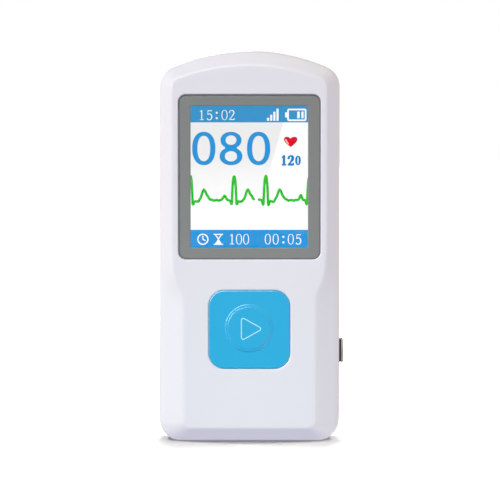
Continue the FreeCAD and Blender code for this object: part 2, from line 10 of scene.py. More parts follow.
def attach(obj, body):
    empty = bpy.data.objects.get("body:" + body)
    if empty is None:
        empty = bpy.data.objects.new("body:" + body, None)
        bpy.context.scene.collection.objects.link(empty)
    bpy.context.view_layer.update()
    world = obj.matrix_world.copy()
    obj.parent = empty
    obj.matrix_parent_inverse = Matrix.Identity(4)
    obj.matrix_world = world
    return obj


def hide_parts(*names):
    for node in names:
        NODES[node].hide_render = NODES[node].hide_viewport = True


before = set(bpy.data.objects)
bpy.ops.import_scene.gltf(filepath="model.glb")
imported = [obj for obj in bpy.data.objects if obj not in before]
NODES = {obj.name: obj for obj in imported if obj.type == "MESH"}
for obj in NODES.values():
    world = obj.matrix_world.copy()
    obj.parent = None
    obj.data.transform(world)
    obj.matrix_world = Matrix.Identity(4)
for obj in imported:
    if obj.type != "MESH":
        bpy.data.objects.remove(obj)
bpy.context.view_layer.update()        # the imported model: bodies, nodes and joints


MM = 0.001

# ================================================================ dimensions, millimetres
CASE_W, CASE_H = 45.0, 96.85
FRONT_D, REAR_D, WALL = 7.5, 7.2, 1.6
ARCH_R, TOP_R, FOOT_R, FOOT_CUT = 48.5, 5.3, 5.5, 0.3
FACE_HW_UP, FACE_HW_LOW, FACE_TOP, FACE_BOT = 19.2, 16.4, 93.20, 3.27
FACE_ARCH_R, FACE_TOP_R, FACE_FOOT_R, BEVEL_Y = 51.4, 2.5, 2.1, 3.9
WIN_Z = 65.7
BEZ_W, BEZ_H, BEZ_R, BEZ_GAP = 34.7, 40.3, 1.65, 0.25
BEZ_DX, BEZ_DZ = 0.1, -0.1
APE_W, APE_H = 29.0, 35.1
BEZ_OUT, POCKET_Y, SHELF_Y = 7.28, 6.10, 5.45
KEY_Z, KEY_W, KEY_H, KEY_R, KEY_OUT, KEY_GAP = 27.9, 20.1, 19.4, 3.9, 7.5, 0.10
DISC_Z = KEY_Z + 0.5
PKEY_Z, PKEY_H, PKEY_T, PKEY_X = 22.2, 6.0, 2.6, 23.55
PLATE_W, PLATE_H, PLATE_R, PLATE_Z = 24.0, 11.0, 3.0, (80.0, 15.0)
SCREW_X, SCREW_Z = 15.9, (7.6, 87.2)
BUZZ_Z = 70.8


# ================================================================ outline of the case
def lerp(a, b, t):
    return a + (b - a) * t


def line(p, q, n):
    return [(lerp(p[0], q[0], i / n), lerp(p[1], q[1], i / n)) for i in range(n)]


def arc(c, r, a0, a1, n):
    r *= 3 / (2 + math.cos((a1 - a0) / n))
    return [(c[0] + r * math.cos(lerp(a0, a1, i / n)), c[1] + r * math.sin(lerp(a0, a1, i / n)))
            for i in range(n)]


def corner_centre(hw, apex, big, small):
    cx = hw - small
    return cx, apex - big + math.sqrt((big - small) ** 2 - cx * cx)


Z_SIDE = [34.6, 36.0, 37.3, 38.6, 40.1, 42.0, 44.4, 48.0, 54.0]
HW_SIDE = [0.0, 0.035, 0.19, 0.41, 0.64, 0.83, 0.93, 0.975, 1.0]


def outline(kind):
    """Control points of the case's outline or of the flat front face's edge, all the way round."""
    if kind == "outer":
        hw, bot, r1, apex, big, r2 = CASE_W / 2, -FOOT_CUT, FOOT_R, CASE_H, ARCH_R, TOP_R
    else:
        hw, bot, r1, apex, big, r2 = FACE_HW_UP, FACE_BOT, FACE_FOOT_R, FACE_TOP, FACE_ARCH_R, FACE_TOP_R
    low = CASE_W / 2 if kind == "outer" else FACE_HW_LOW
    cx, cz = corner_centre(hw, apex, big, r2)
    tilt = math.atan2(cz - (apex - big), cx)
    pts = line((0.0, bot), (low - r1, bot), 6)
    pts += arc((low - r1, bot + r1), r1, -math.pi / 2, 0.0, 7)
    pts += line((low, bot + r1), (low, Z_SIDE[0]), 5)
    pts += [(lerp(low, hw, s), z) for z, s in zip(Z_SIDE, HW_SIDE)][:-1]
    pts += line((hw, Z_SIDE[-1]), (hw, cz), 6)
    pts += arc((cx, cz), r2, 0.0, tilt, 7)
    pts += arc((0.0, apex - big), big, tilt, math.pi / 2, 9)
    return pts + [(0.0, apex)] + [(-x, z) for x, z in reversed(pts[1:])]


OUTER, FACE = outline("outer"), outline("face")


def inset(pts, d):
    out = []
    for i, (x, z) in enumerate(pts):
        x0, z0 = pts[i - 1]
        x1, z1 = pts[(i + 1) % len(pts)]
        tx, tz = x1 - x0, z1 - z0
        length = math.hypot(tx, tz)
        out.append((x - tz / length * d, z + tx / length * d))
    return out


def mix(a, b, t):
    return [(lerp(p[0], q[0], t), lerp(p[1], q[1], t)) for p, q in zip(a, b)]


def front_rows():
    rim = inset(OUTER, 0.40)
    rows = [(0.0, inset(OUTER, 0.20)), (-0.12, inset(OUTER, 0.04)), (-0.35, OUTER),
            (-1.7, inset(OUTER, 0.02)), (-2.9, inset(OUTER, 0.10)), (-BEVEL_Y, rim)]
    for a in (0.2, 0.5, 0.81, 1.0):
        rows.append((-lerp(BEVEL_Y, FRONT_D, a), mix(rim, FACE, a)))
    return rows + [(-FRONT_D, inset(FACE, d)) for d in (0.5, 1.0)]


def front_cavity_rows():
    rim = inset(OUTER, WALL + 0.12)
    face = inset(FACE, 0.7)
    y1, y2 = 3.2, FRONT_D - WALL
    rows = [(0.6, inset(OUTER, WALL)), (-0.4, inset(OUTER, WALL)), (-1.4, inset(OUTER, WALL)),
            (-2.4, inset(OUTER, WALL + 0.06)), (-y1, rim)]
    rows += [(-lerp(y1, y2, a), mix(rim, face, a)) for a in (0.3, 0.7, 1.0)]
    return rows + [(-y2, inset(FACE, 1.6))]


def rear_rows():
    return [(0.0, inset(OUTER, 0.20)), (0.12, inset(OUTER, 0.04)), (0.35, OUTER),
            (1.7, inset(OUTER, 0.02)), (3.2, inset(OUTER, 0.07)), (4.9, inset(OUTER, 0.22)),
            (6.2, inset(OUTER, 0.75)), (6.95, inset(OUTER, 1.6)), (REAR_D, inset(OUTER, 2.6)),
            (REAR_D, inset(OUTER, 3.2)), (REAR_D, inset(OUTER, 3.8))]


def rear_cavity_rows():
    b = REAR_D - WALL
    return [(-0.6, inset(OUTER, WALL)), (0.4, inset(OUTER, WALL)), (1.6, inset(OUTER, WALL)),
            (3.4, inset(OUTER, WALL + 0.2)), (4.7, inset(OUTER, WALL + 0.7)),
            (b, inset(OUTER, WALL + 1.6)), (b, inset(OUTER, WALL + 2.4))]


# ================================================================ smooth surfaces
PER = 4      # points along the outline for each of its control points


def round_weights(n, per):
    """Uniform closed cubic: rows are sample points, columns control points."""
    w = np.zeros((n * per, n))
    for i in range(n):
        for j in range(per):
            t = j / per
            for k, b in zip((-1, 0, 1, 2), ((1 - t) ** 3 / 6, (3 * t ** 3 - 6 * t * t + 4) / 6,
                                            (-3 * t ** 3 + 3 * t * t + 3 * t + 1) / 6, t ** 3 / 6)):
                w[i * per + j, (i + k) % n] += b
    return w


def clamped_weights(m, vs):
    """Clamped cubic with knots 0, 1, 2 ... m - 3."""
    knots = [0.0] * 3 + [float(k) for k in range(m - 2)] + [float(m - 3)] * 3
    w = np.zeros((len(vs), m))
    for r, v in enumerate(vs):
        v = min(max(v, 0.0), m - 3.0)
        span = min(int(v), m - 4) + 3
        basis = [1.0]
        for d in range(1, 4):
            new = [0.0] * (d + 1)
            for j in range(d):
                lo, hi = knots[span - d + 1 + j], knots[span + 1 + j]
                q = basis[j] / (hi - lo)
                new[j] += (hi - v) * q
                new[j + 1] += (v - lo) * q
            basis = new
        w[r, span - 3:span + 1] = basis
    return w


ROUND = round_weights(len(OUTER), PER)


def skin(rows, vs):
    """Loops of points on the surface over rows of control points, one loop for each v."""
    net = np.array([[(x, y, z) for x, z in pts] for y, pts in rows])
    return np.einsum("vm,mnk,un->vuk", clamped_weights(len(rows), vs), net, ROUND)


def v_at(rows, y):
    """Where the surface over rows reaches the depth y, for rows whose depth falls or rises all the way."""
    ys = np.array([r[0] for r in rows])
    lo, hi = 0.0, len(rows) - 3.0
    up = ys[-1] > ys[0]
    for _ in range(50):
        mid = (lo + hi) / 2
        value = float((clamped_weights(len(rows), [mid]) @ ys)[0])
        if (value < y) == up:
            lo = mid
        else:
            hi = mid
    return lo


def smooth_loop(pts):
    return [tuple(p) for p in ROUND @ np.array(pts)]


# ================================================================ mesh building, in millimetres
def rrect(w, h, r, cx=0.0, cz=0.0, seg=10):
    pts = []
    for sx, sz, a0 in ((1, -1, -90), (1, 1, 0), (-1, 1, 90), (-1, -1, 180)):
        for k in range(seg + 1):
            a = math.radians(a0 + 90 * k / seg)
            pts.append((cx + sx * (w / 2 - r) + r * math.cos(a), cz + sz * (h / 2 - r) + r * math.sin(a)))
    return pts


def circle(r, cx=0.0, cz=0.0, n=48):
    return [(cx + r * math.cos(2 * math.pi * k / n), cz + r * math.sin(2 * math.pi * k / n)) for k in range(n)]


def rr(w, h, r, cx=0.0, cz=0.0, seg=10):
    """A rounded rectangle as a function of how far it is grown."""
    return lambda o: rrect(w + 2 * o, h + 2 * o, max(r + o, 0.02), cx, cz, seg)


def disc(r, cx=0.0, cz=0.0, n=48):
    return lambda o: circle(r + o, cx, cz, n)


def rounded(points, radii, seg=4, hold=0.05):
    """An open profile with its inner corners rounded, and a point held close to each end of every arc."""
    out = [points[0]]
    for i in range(1, len(points) - 1):
        p, a, b = Vector(points[i]), Vector(points[i - 1]), Vector(points[i + 1])
        r = radii[i - 1]
        if r <= 0:
            out.append(tuple(p))
            continue
        u, v = (a - p).normalized(), (b - p).normalized()
        half = math.acos(max(-1, min(1, u.dot(v)))) / 2
        d = r / math.tan(half)
        c = p + (u + v).normalized() * (r / math.sin(half))
        s, e = p + u * d, p + v * d
        if hold and (a - s).length > hold * 1.5:
            out.append(tuple(s + u * hold))
        a0 = math.atan2(s.y - c.y, s.x - c.x)
        turn = math.atan2(e.y - c.y, e.x - c.x) - a0
        turn = (turn + math.pi) % (2 * math.pi) - math.pi
        for k in range(seg + 1):
            t = a0 + turn * k / seg
            out.append((c.x + r * math.cos(t), c.y + r * math.sin(t)))
        if hold and (b - e).length > hold * 1.5:
            out.append(tuple(e + v * hold))
    out.append(points[-1])
    clean = [out[0]]
    for p in out[1:]:
        if math.dist(p, clean[-1]) > 1e-4:
            clean.append(p)
    return clean


def signed_area(poly):
    return sum(x0 * y1 - x1 * y0 for (x0, y0), (x1, y1) in zip(poly, poly[1:] + poly[:1])) / 2


class Build:
    """Collects loops of points and the faces between them."""

    def __init__(self):
        self.co, self.faces, self.mats = [], [], []

    def add(self, points):
        start = len(self.co)
        self.co += [tuple(float(c) for c in p) for p in points]
        return list(range(start, len(self.co)))

    def loop(self, pts, y):
        return self.add([(x, y, z) for x, z in pts])

    def bridge(self, a, b, m=0):
        n = len(a)
        for i in range(n):
            j = (i + 1) % n
            self.faces.append((a[i], a[j], b[j], b[i]))
            self.mats.append(m)

    def chain(self, loops, m=0):
        for a, b in zip(loops, loops[1:]):
            self.bridge(a, b, m)
        return loops[0], loops[-1]

    def sweep(self, shape, profile, m=0, place=None):
        """Loops of shape(o) at y for each (o, y) of the profile."""
        loops = []
        for o, y in profile:
            pts = [(x, y, z) for x, z in shape(o)]
            loops.append(self.add([place(p) for p in pts] if place else pts))
        return self.chain(loops, m)

    def fill(self, loops, m=0, axes=(0, 2), regions=()):
        """Flat area inside the first loop and outside the others, split along regions = [(polygon, material)]."""
        ids = [i for lp in loops for i in lp]
        verts = [tuple(self.co[i][a] for a in axes) for i in ids]
        level = self.co[ids[0]][3 - sum(axes)]
        edges, k = [], 0
        for lp in loops:
            edges += [(k + i, k + (i + 1) % len(lp)) for i in range(len(lp))]
            k += len(lp)
        polys = []
        for poly, _ in regions:
            poly = [tuple(p) for p in poly]
            if signed_area(poly) < 0:
                poly = poly[::-1]
            start = len(verts)
            verts += poly
            polys.append(list(range(start, start + len(poly))))
        got = delaunay_2d_cdt([Vector(v) for v in verts], edges, polys, 0, 1e-6, True)
        out_v, out_f, from_v, from_f = got[0], got[2], got[3], got[5]
        tri = np.array([f[:3] for f in out_f if len(f) == 3], int).reshape(-1, 3)
        assert len(tri) == len(out_f)
        pos = np.array([tuple(v) for v in out_v])
        mid = pos[tri].mean(1)
        inside = np.zeros(len(tri), bool)
        for lp in loops:
            ring = np.array([[self.co[i][a] for a in axes] for i in lp])
            nxt = np.roll(ring, -1, 0)
            dy = nxt[:, 1] - ring[:, 1]
            dy[dy == 0] = 1e-30
            crosses = (ring[:, 1][None] > mid[:, 1][:, None]) != (nxt[:, 1][None] > mid[:, 1][:, None])
            x = ring[:, 0][None] + (mid[:, 1][:, None] - ring[:, 1][None]) / dy[None] * (nxt[:, 0] - ring[:, 0])[None]
            inside ^= (crosses & (mid[:, 0][:, None] < x)).sum(1) % 2 == 1
        index = {}
        for k, origin in enumerate(from_v):
            mine = [o for o in origin if o < len(ids)]
            if mine:
                index[k] = ids[mine[0]]
        for t, keep, origin in zip(tri, inside, from_f):
            if not keep:
                continue
            for k in t:
                if int(k) not in index:
                    p = [0.0, 0.0, 0.0]
                    p[axes[0]], p[axes[1]], p[3 - sum(axes)] = float(pos[k][0]), float(pos[k][1]), level
                    index[int(k)] = self.add([p])[0]
            self.faces.append(tuple(index[int(k)] for k in t))
            hits = [o for o in origin]
            self.mats.append(regions[max(hits)][1] if hits and regions else m)

    def piece(self, name, materials, body, replaces=(), slot=None, angle=32, cut_z=None, cutters=None):
        """The mesh as an object of its own, closed, with its normals outwards."""
        bm = bmesh.new()
        vs = [bm.verts.new(p) for p in self.co]
        bm.verts.ensure_lookup_table()
        for f, m in zip(self.faces, self.mats):
            ring = []
            for i in f:
                if not ring or vs[i] is not ring[-1]:
                    ring.append(vs[i])
            if len(set(ring)) < 3:
                continue
            try:
                face = bm.faces.new(ring)
            except ValueError:
                continue
            face.material_index = m
        loose = [v for v in bm.verts if not v.link_faces]
        bmesh.ops.delete(bm, geom=loose, context="VERTS")
        if cut_z is not None:
            bmesh.ops.bisect_plane(bm, geom=bm.verts[:] + bm.edges[:] + bm.faces[:], dist=1e-5,
                                   plane_co=(0, 0, cut_z), plane_no=(0, 0, 1), clear_inner=True)
            rim = [e for e in bm.edges if len(e.link_faces) == 1]
            bmesh.ops.triangle_fill(bm, use_beauty=True, use_dissolve=False, edges=rim, normal=(0, 0, -1))
        bmesh.ops.recalc_face_normals(bm, faces=bm.faces[:])
        if bm.calc_volume(signed=True) < 0:
            bmesh.ops.reverse_faces(bm, faces=bm.faces[:])
        bad = sum(1 for e in bm.edges if len(e.link_faces) != 2)
        bmesh.ops.scale(bm, vec=(MM, MM, MM), verts=bm.verts[:])
        mesh = bpy.data.meshes.new(name)
        bm.to_mesh(mesh)
        bm.free()
        obj = bpy.data.objects.new(name, mesh)
        for mat in materials:
            mesh.materials.append(mat)
        bpy.context.scene.collection.objects.link(obj)
        if cutters:
            carve(obj, cutters)
            mesh = obj.data
            check = bmesh.new()
            check.from_mesh(mesh)
            bad = sum(1 for e in check.edges if len(e.link_faces) != 2)
            check.free()
        mesh.shade_smooth()
        mesh.set_sharp_from_angle(angle=math.radians(angle))
        if bad:
            print("OPEN EDGES", name, bad)
        print("piece", name, len(mesh.polygons), "faces")
        if body:
            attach(obj, body)
        if replaces:
            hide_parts(*replaces)
        return obj


def carve(obj, cutters):
    """Cuts closed helper shapes out of obj exactly."""
    for cutter in cutters:
        mod = obj.modifiers.new("cut", "BOOLEAN")
        mod.operation, mod.solver, mod.object = "DIFFERENCE", "EXACT", cutter
        dg = bpy.context.evaluated_depsgraph_get()
        new = bpy.data.meshes.new_from_object(obj.evaluated_get(dg))
        old = obj.data
        obj.modifiers.remove(mod)
        obj.data = new
        bpy.data.meshes.remove(old)
        new.name = obj.name


def helper(build, name):
    obj = build.piece(name, [], None)
    return obj


def discard(objs):
    for o in objs:
        mesh = o.data
        bpy.data.objects.remove(o)
        bpy.data.meshes.remove(mesh)


# ================================================================ materials
def srgb(r, g, b):
    out = []
    for c in (r, g, b):
        c /= 255
        out.append(c / 12.92 if c <= 0.04045 else ((c + 0.055) / 1.055) ** 2.4)
    return tuple(out) + (1.0,)


class Mat:
    """A node material built up step by step."""

    def __init__(self, name):
        self.mat = bpy.data.materials.new(name)
        self.mat.use_nodes = True
        self.nt = self.mat.node_tree
        self.nt.nodes.clear()
        self.out = self.node("ShaderNodeOutputMaterial")
        self.shader = self.node("ShaderNodeBsdfPrincipled")
        self.link(self.shader.outputs[0], self.out.inputs["Surface"])
        self.coord = self.node("ShaderNodeTexCoord").outputs["Object"]

    def node(self, kind, **values):
        n = self.nt.nodes.new(kind)
        for k, v in values.items():
            setattr(n, k, v)
        return n

    def link(self, a, b):
        self.nt.links.new(a, b)

    def set(self, **values):
        for k, v in values.items():
            self.shader.inputs[k.replace("_", " ")].default_value = v
        return self

    def stretched(self, scale):
        m = self.node("ShaderNodeMapping")
        m.inputs["Scale"].default_value = scale
        self.link(self.coord, m.inputs["Vector"])
        return m.outputs[0]

    def noise(self, scale, detail=2.0, rough=0.5, vector=None):
        n = self.node("ShaderNodeTexNoise")
        n.inputs["Scale"].default_value = scale
        n.inputs["Detail"].default_value = detail
        n.inputs["Roughness"].default_value = rough
        self.link(vector or self.coord, n.inputs["Vector"])
        return n.outputs[0]

    def ramp(self, value, lo, hi, to_lo, to_hi, kind="LINEAR"):
        n = self.node("ShaderNodeMapRange", interpolation_type=kind)
        for key, v in (("From Min", lo), ("From Max", hi), ("To Min", to_lo), ("To Max", to_hi)):
            n.inputs[key].default_value = v
        self.link(value, n.inputs["Value"])
        return n.outputs[0]

    def math(self, op, a, b=0.0, c=None):
        n = self.node("ShaderNodeMath", operation=op)
        for k, v in enumerate((a, b, c)):
            if v is None:
                continue
            if isinstance(v, (int, float)):
                n.inputs[k].default_value = v
            else:
                self.link(v, n.inputs[k])
        return n.outputs[0]

    def blend(self, factor, a, b, op="MIX"):
        n = self.node("ShaderNodeMix", data_type="RGBA", blend_type=op)
        for k, v in (("Factor", factor), ("A", a), ("B", b)):
            socket = [s for s in n.inputs if s.name == k and s.enabled][0]
            if isinstance(v, (int, float, tuple)):
                socket.default_value = v
            else:
                self.link(v, socket)
        return [s for s in n.outputs if s.enabled][0]

    def bump(self, height, strength, distance):
        n = self.node("ShaderNodeBump")
        n.inputs["Strength"].default_value = strength
        n.inputs["Distance"].default_value = distance
        self.link(height, n.inputs["Height"])
        self.link(n.outputs[0], self.shader.inputs["Normal"])


def shade(c, k):
    return (c[0] * k, c[1] * k, c[2] * k, 1.0)


def moulded(name, colour, rough=0.35, vary=0.02, cloud=60.0, grain=1800.0, depth=0.000004, dr=0.05, strength=0.15,
            **sockets):
    """Moulded plastic: faint clouding of the colour, uneven polish and a fine skin texture."""
    m = Mat(name)
    m.link(m.blend(m.ramp(m.noise(cloud, 3.0), 0.3, 0.7, 0.0, 1.0), shade(colour, 1 - vary), shade(colour, 1 + vary)),
           m.shader.inputs["Base Color"])
    m.link(m.ramp(m.noise(cloud * 4, 4.0), 0.3, 0.7, rough - dr, rough + dr), m.shader.inputs["Roughness"])
    if strength:
        m.bump(m.noise(grain, 2.0), strength, depth)
    m.set(**sockets)
    return m.mat


def brushed(name, colour, rough=0.28, stretch=(6.0, 400.0, 900.0), vary=0.12, strength=0.12, depth=0.00001,
            **sockets):
    """Metal with fine parallel grinding marks."""
    m = Mat(name)
    lines = m.noise(6.0, 6.0, 0.7, m.stretched(stretch))
    m.link(m.blend(m.ramp(lines, 0.3, 0.7, 0.0, 1.0), shade(colour, 1 - vary), shade(colour, 1 + vary)),
           m.shader.inputs["Base Color"])
    m.link(m.ramp(lines, 0.25, 0.75, rough - 0.09, rough + 0.09), m.shader.inputs["Roughness"])
    m.bump(lines, strength, depth)
    m.set(Metallic=1.0, **sockets)
    return m.mat


def solder_mask(name):
    """Green board: mask over copper tracks, which show as slightly raised lighter lines."""
    m = Mat(name)
    grid = m.node("ShaderNodeTexBrick", offset=0.37, squash=0.6)
    for key, v in (("Scale", 420.0), ("Mortar Size", 0.06), ("Brick Width", 1.7), ("Row Height", 0.35)):
        grid.inputs[key].default_value = v
    turn = m.node("ShaderNodeMapping")
    turn.inputs["Rotation"].default_value = (math.radians(90), 0, 0)
    m.link(m.coord, turn.inputs["Vector"])
    m.link(turn.outputs[0], grid.inputs["Vector"])
    tracks = m.ramp(grid.outputs["Fac"], 0.2, 0.8, 0.0, 1.0)
    base = m.blend(m.noise(300.0, 3.0), (0.010, 0.10, 0.045, 1), (0.016, 0.15, 0.065, 1))
    m.link(m.blend(tracks, base, (0.05, 0.30, 0.13, 1)), m.shader.inputs["Base Color"])
    m.link(m.ramp(m.noise(900.0), 0.3, 0.7, 0.25, 0.42), m.shader.inputs["Roughness"])
    m.bump(tracks, 0.3, 0.00003)
    return m.mat


def glow(name, colour, vary=0.015, strength=1.0, paint=None):
    """A lit area of the display: the backlight is a little uneven."""
    m = Mat(name)
    lit = m.blend(m.ramp(m.noise(55.0, 1.0), 0.25, 0.75, 0.0, 1.0), shade(colour, 1 - vary), shade(colour, 1 + vary))
    if paint:
        lit = paint(m, lit)
    m.link(lit, m.shader.inputs["Emission Color"])
    m.set(Base_Color=(0.01, 0.01, 0.012, 1), Roughness=0.25, Emission_Strength=strength, Specular_IOR_Level=0.0)
    return m.mat


def painted_glass_glare(m, lit):
    """Painted reflection on the display: the glare of the glass, painted into the glow as a slightly darker grey
    field on the left that ends on a slanted line and fades towards the bottom."""
    parts = m.node("ShaderNodeSeparateXYZ")
    m.link(m.coord, parts.inputs[0])
    x, z = parts.outputs["X"], parts.outputs["Z"]
    # the slanted line runs through (8.4, 79.1) and (4.7, 66.2)
    edge = m.math("SUBTRACT", x, m.math("MULTIPLY_ADD", z, 0.287, 0.0084 - 0.287 * 0.0791))
    side = m.ramp(edge, -0.0002, 0.0002, 1.0, 0.0, "SMOOTHSTEP")
    fade = m.ramp(z, 0.0535, 0.0765, 0.0, 1.0, "SMOOTHSTEP")
    # how strongly the painted reflection darkens the glow at each point
    grey = m.math("MULTIPLY", side, fade)
    return m.blend(m.math("MULTIPLY", grey, 0.15), lit, (0.0, 0.0, 0.0, 1.0))


SHELL_RGB = (0.845, 0.845, 0.915, 1)
shell = moulded("shell_white", SHELL_RGB, rough=0.22, vary=0.0022, cloud=150.0, grain=2600.0, dr=0.002, strength=0.04)
shell_back = moulded("shell_white_back", SHELL_RGB, rough=0.33, vary=0.003, cloud=150.0, grain=2200.0, dr=0.003,
                     strength=0.12)
bezel_grey = moulded("bezel_grey", (0.236, 0.247, 0.243, 1), rough=0.42, vary=0.02, cloud=120.0, grain=3200.0,
                     strength=0.12)
key_blue = moulded("key_blue", (0.016, 0.463, 0.815, 1), rough=0.20, vary=0.004, cloud=160.0, dr=0.003, strength=0.03,
                   Specular_IOR_Level=0.75)
key_print = moulded("key_print", (0.50, 0.89, 1.0, 1), rough=0.45, vary=0.01, cloud=300.0, strength=0.1)
key_base = moulded("key_base_black", (0.035, 0.033, 0.03, 1), rough=0.5, vary=0.08)
key_metal = brushed("key_metal", (0.440, 0.414, 0.400, 1), rough=0.34, stretch=(500.0, 500.0, 20.0), vary=0.05)
steel = brushed("steel_brushed", (0.60, 0.655, 0.735, 1), rough=0.27)
steel_plain = brushed("steel_plated", (0.55, 0.55, 0.56, 1), rough=0.3, stretch=(300.0, 300.0, 300.0), vary=0.06)
tin = brushed("tin_shield", (0.66, 0.66, 0.64, 1), rough=0.35, stretch=(120.0, 400.0, 120.0), vary=0.06)
gold = brushed("gold_plated", (0.83, 0.62, 0.28, 1), rough=0.25, stretch=(300.0, 300.0, 300.0), vary=0.05)
foil = brushed("cell_foil", (0.70, 0.71, 0.73, 1), rough=0.38, stretch=(90.0, 90.0, 60.0), vary=0.08, strength=0.3,
               depth=0.00006)
board = solder_mask("board_green")
chip = moulded("chip_black", (0.02, 0.02, 0.022, 1), rough=0.55, vary=0.15, cloud=400.0, grain=5000.0, strength=0.4)
ceramic = moulded("part_tan", (0.45, 0.36, 0.25, 1), rough=0.45, vary=0.1, cloud=900.0)
black_nylon = moulded("plastic_black", (0.025, 0.025, 0.028, 1), rough=0.42, vary=0.1, cloud=300.0, strength=0.3)
ivory_nylon = moulded("plastic_ivory", (0.78, 0.75, 0.66, 1), rough=0.42, vary=0.03, cloud=300.0, strength=0.2)
white_frame = moulded("backlight_white", (0.88, 0.88, 0.88, 1), rough=0.5, vary=0.02, cloud=150.0)
foam = moulded("foam_black", (0.03, 0.03, 0.032, 1), rough=0.9, vary=0.25, cloud=700.0, grain=2500.0, strength=0.7,
               depth=0.00008)
amber = moulded("flex_amber", (0.42, 0.19, 0.03, 1), rough=0.33, vary=0.06, cloud=250.0)
red_lead = moulded("lead_red", (0.55, 0.02, 0.02, 1), rough=0.45, vary=0.05, cloud=300.0)
black_lead = moulded("lead_black", (0.02, 0.02, 0.02, 1), rough=0.45, vary=0.1, cloud=300.0)
film = moulded("label_film", (0.64, 0.65, 0.67, 1), rough=0.38, vary=0.012, cloud=160.0, grain=2600.0, strength=0.25)


def clear_lens(name):
    m = Mat(name)
    m.link(m.ramp(m.noise(90.0, 4.0), 0.35, 0.75, 0.0, 0.035), m.shader.inputs["Roughness"])
    m.link(m.blend(m.noise(40.0), (0.985, 0.99, 1.0, 1), (1.0, 1.0, 1.0, 1)), m.shader.inputs["Base Color"])
    m.set(IOR=1.32, Transmission_Weight=1.0)
    return m.mat


lens = clear_lens("lens_clear")

# white field of the display, with the glare of the glass painted into its glow as a painted reflection
lcd_white_painted_glare = glow("lcd_white_painted_glare", (1.03, 1.03, 1.03, 1), vary=0.004, paint=painted_glass_glare)
lcd_top = glow("lcd_top_bar", srgb(56, 150, 205))
lcd_bottom = glow("lcd_bottom_bar", srgb(2, 147, 221))
lcd_text = glow("lcd_text_white", (1.0, 1.0, 1.0, 1))
lcd_digit = glow("lcd_digit_blue", srgb(40, 150, 219))
lcd_small = glow("lcd_small_blue", srgb(22, 132, 198))
lcd_red = glow("lcd_heart_red", srgb(228, 0, 32))
lcd_dark = glow("lcd_heart_dark", srgb(165, 2, 22))
lcd_pink = glow("lcd_heart_light", srgb(255, 205, 205))
lcd_green = glow("lcd_trace_green", srgb(0, 190, 0))
lcd_border = moulded("lcd_border_black", (0.012, 0.012, 0.014, 1), rough=0.15, vary=0.1, strength=0.0)
lcd_body = moulded("lcd_glass_edge", (0.30, 0.34, 0.33, 1), rough=0.2, vary=0.05, strength=0.0)

# ================================================================ front cover
pocket = rr(BEZ_W + 2 * BEZ_GAP, BEZ_H + 2 * BEZ_GAP, BEZ_R + BEZ_GAP, 0, WIN_Z)
key_hole = rr(KEY_W + 0.12, KEY_H + 0.12, KEY_R + 0.06, 0, KEY_Z, 14)


def v_steps(m, per):
    """More samples where the profile turns quickly."""
    out = []
    for k in range(m - 3):
        out += [k + j / per for j in range(per)]
    return out + [m - 3.0]


def yz_prism(shape, xs, grow):
    """Closed prism along X over a shape in Y and Z."""
    b = Build()
    loops = [b.add([(x, y, z) for y, z in shape(g)]) for x, g in zip(xs, grow)]
    b.chain(loops)
    b.fill([loops[0]], axes=(1, 2))
    b.fill([loops[-1]], axes=(1, 2))
    return b


def xy_prism(shape, zs, grow):
    b = Build()
    loops = [b.add([(x, y, z) for x, y in shape(g)]) for z, g in zip(zs, grow)]
    b.chain(loops)
    b.fill([loops[0]], axes=(0, 1))
    b.fill([loops[-1]], axes=(0, 1))
    return b


power_slot = helper(yz_prism(rr(PKEY_T + 0.3, PKEY_H + 0.3, 0.9, 0.0, PKEY_Z, 8),
                             (19.5, 22.2, 22.32, 22.42, 22.5, 25.0), (0, 0, 0.015, 0.06, 0.16, 2.6)), "cut_power")
usb_slot = helper(xy_prism(rr(8.3, 3.2, 1.2, 0.0, 0.45, 8),
                           (-1.0, 0.0, 0.06, 0.16, 0.3, 3.2), (1.2, 0.2, 0.12, 0.04, 0.0, 0.0)), "cut_usb")
CUTTERS = [power_slot, usb_slot]


def front_cover():
    b = Build()
    rows = front_rows()
    outer = [b.add(lp) for lp in skin(rows, v_steps(len(rows), 5))]
    first, cap = b.chain(outer)
    # parting edge, step for the rear cover's lip, inner skin
    cav = front_cavity_rows()
    start = v_at(cav, -1.35)
    inner = [b.add(lp) for lp in skin(cav, [start] + [v for v in v_steps(len(cav), 3) if v > start + 0.05])]
    step = [b.loop(smooth_loop(inset(OUTER, 0.75)), y) for y in (0.0, -1.35)]
    b.chain([first] + step + inner)
    # display pocket, shelf and opening
    mouth, wall = b.sweep(pocket, rounded([(0.34, -FRONT_D), (0.26, -FRONT_D), (0.03, -FRONT_D + 0.155), (0, -POCKET_Y)], [0.05, 0.05], 4, 0.02))
    opening = [b.loop(rrect(30.2, 36.2, 0.6, 0, WIN_Z), y) for y in (-POCKET_Y, -SHELF_Y)]
    pad = [b.loop(rrect(34.0, 43.0, 1.5, 0, 65.4), y) for y in (-SHELF_Y, -(FRONT_D - WALL))]
    b.chain([wall] + opening + pad)
    # key opening
    key_mouth, key_wall = b.sweep(key_hole, rounded([(0.50, -FRONT_D), (0.33, -FRONT_D), (0.04, -FRONT_D + 0.19),
                                                     (0, -(FRONT_D - WALL))], [0.05, 0.04], 4, 0.02))
    b.fill([cap, mouth, key_mouth])
    b.fill([inner[-1], pad[-1], key_wall])
    return b.piece("front_shell", [shell], "housing", ["front_cover"], "shell_white", cut_z=0.0, cutters=CUTTERS)


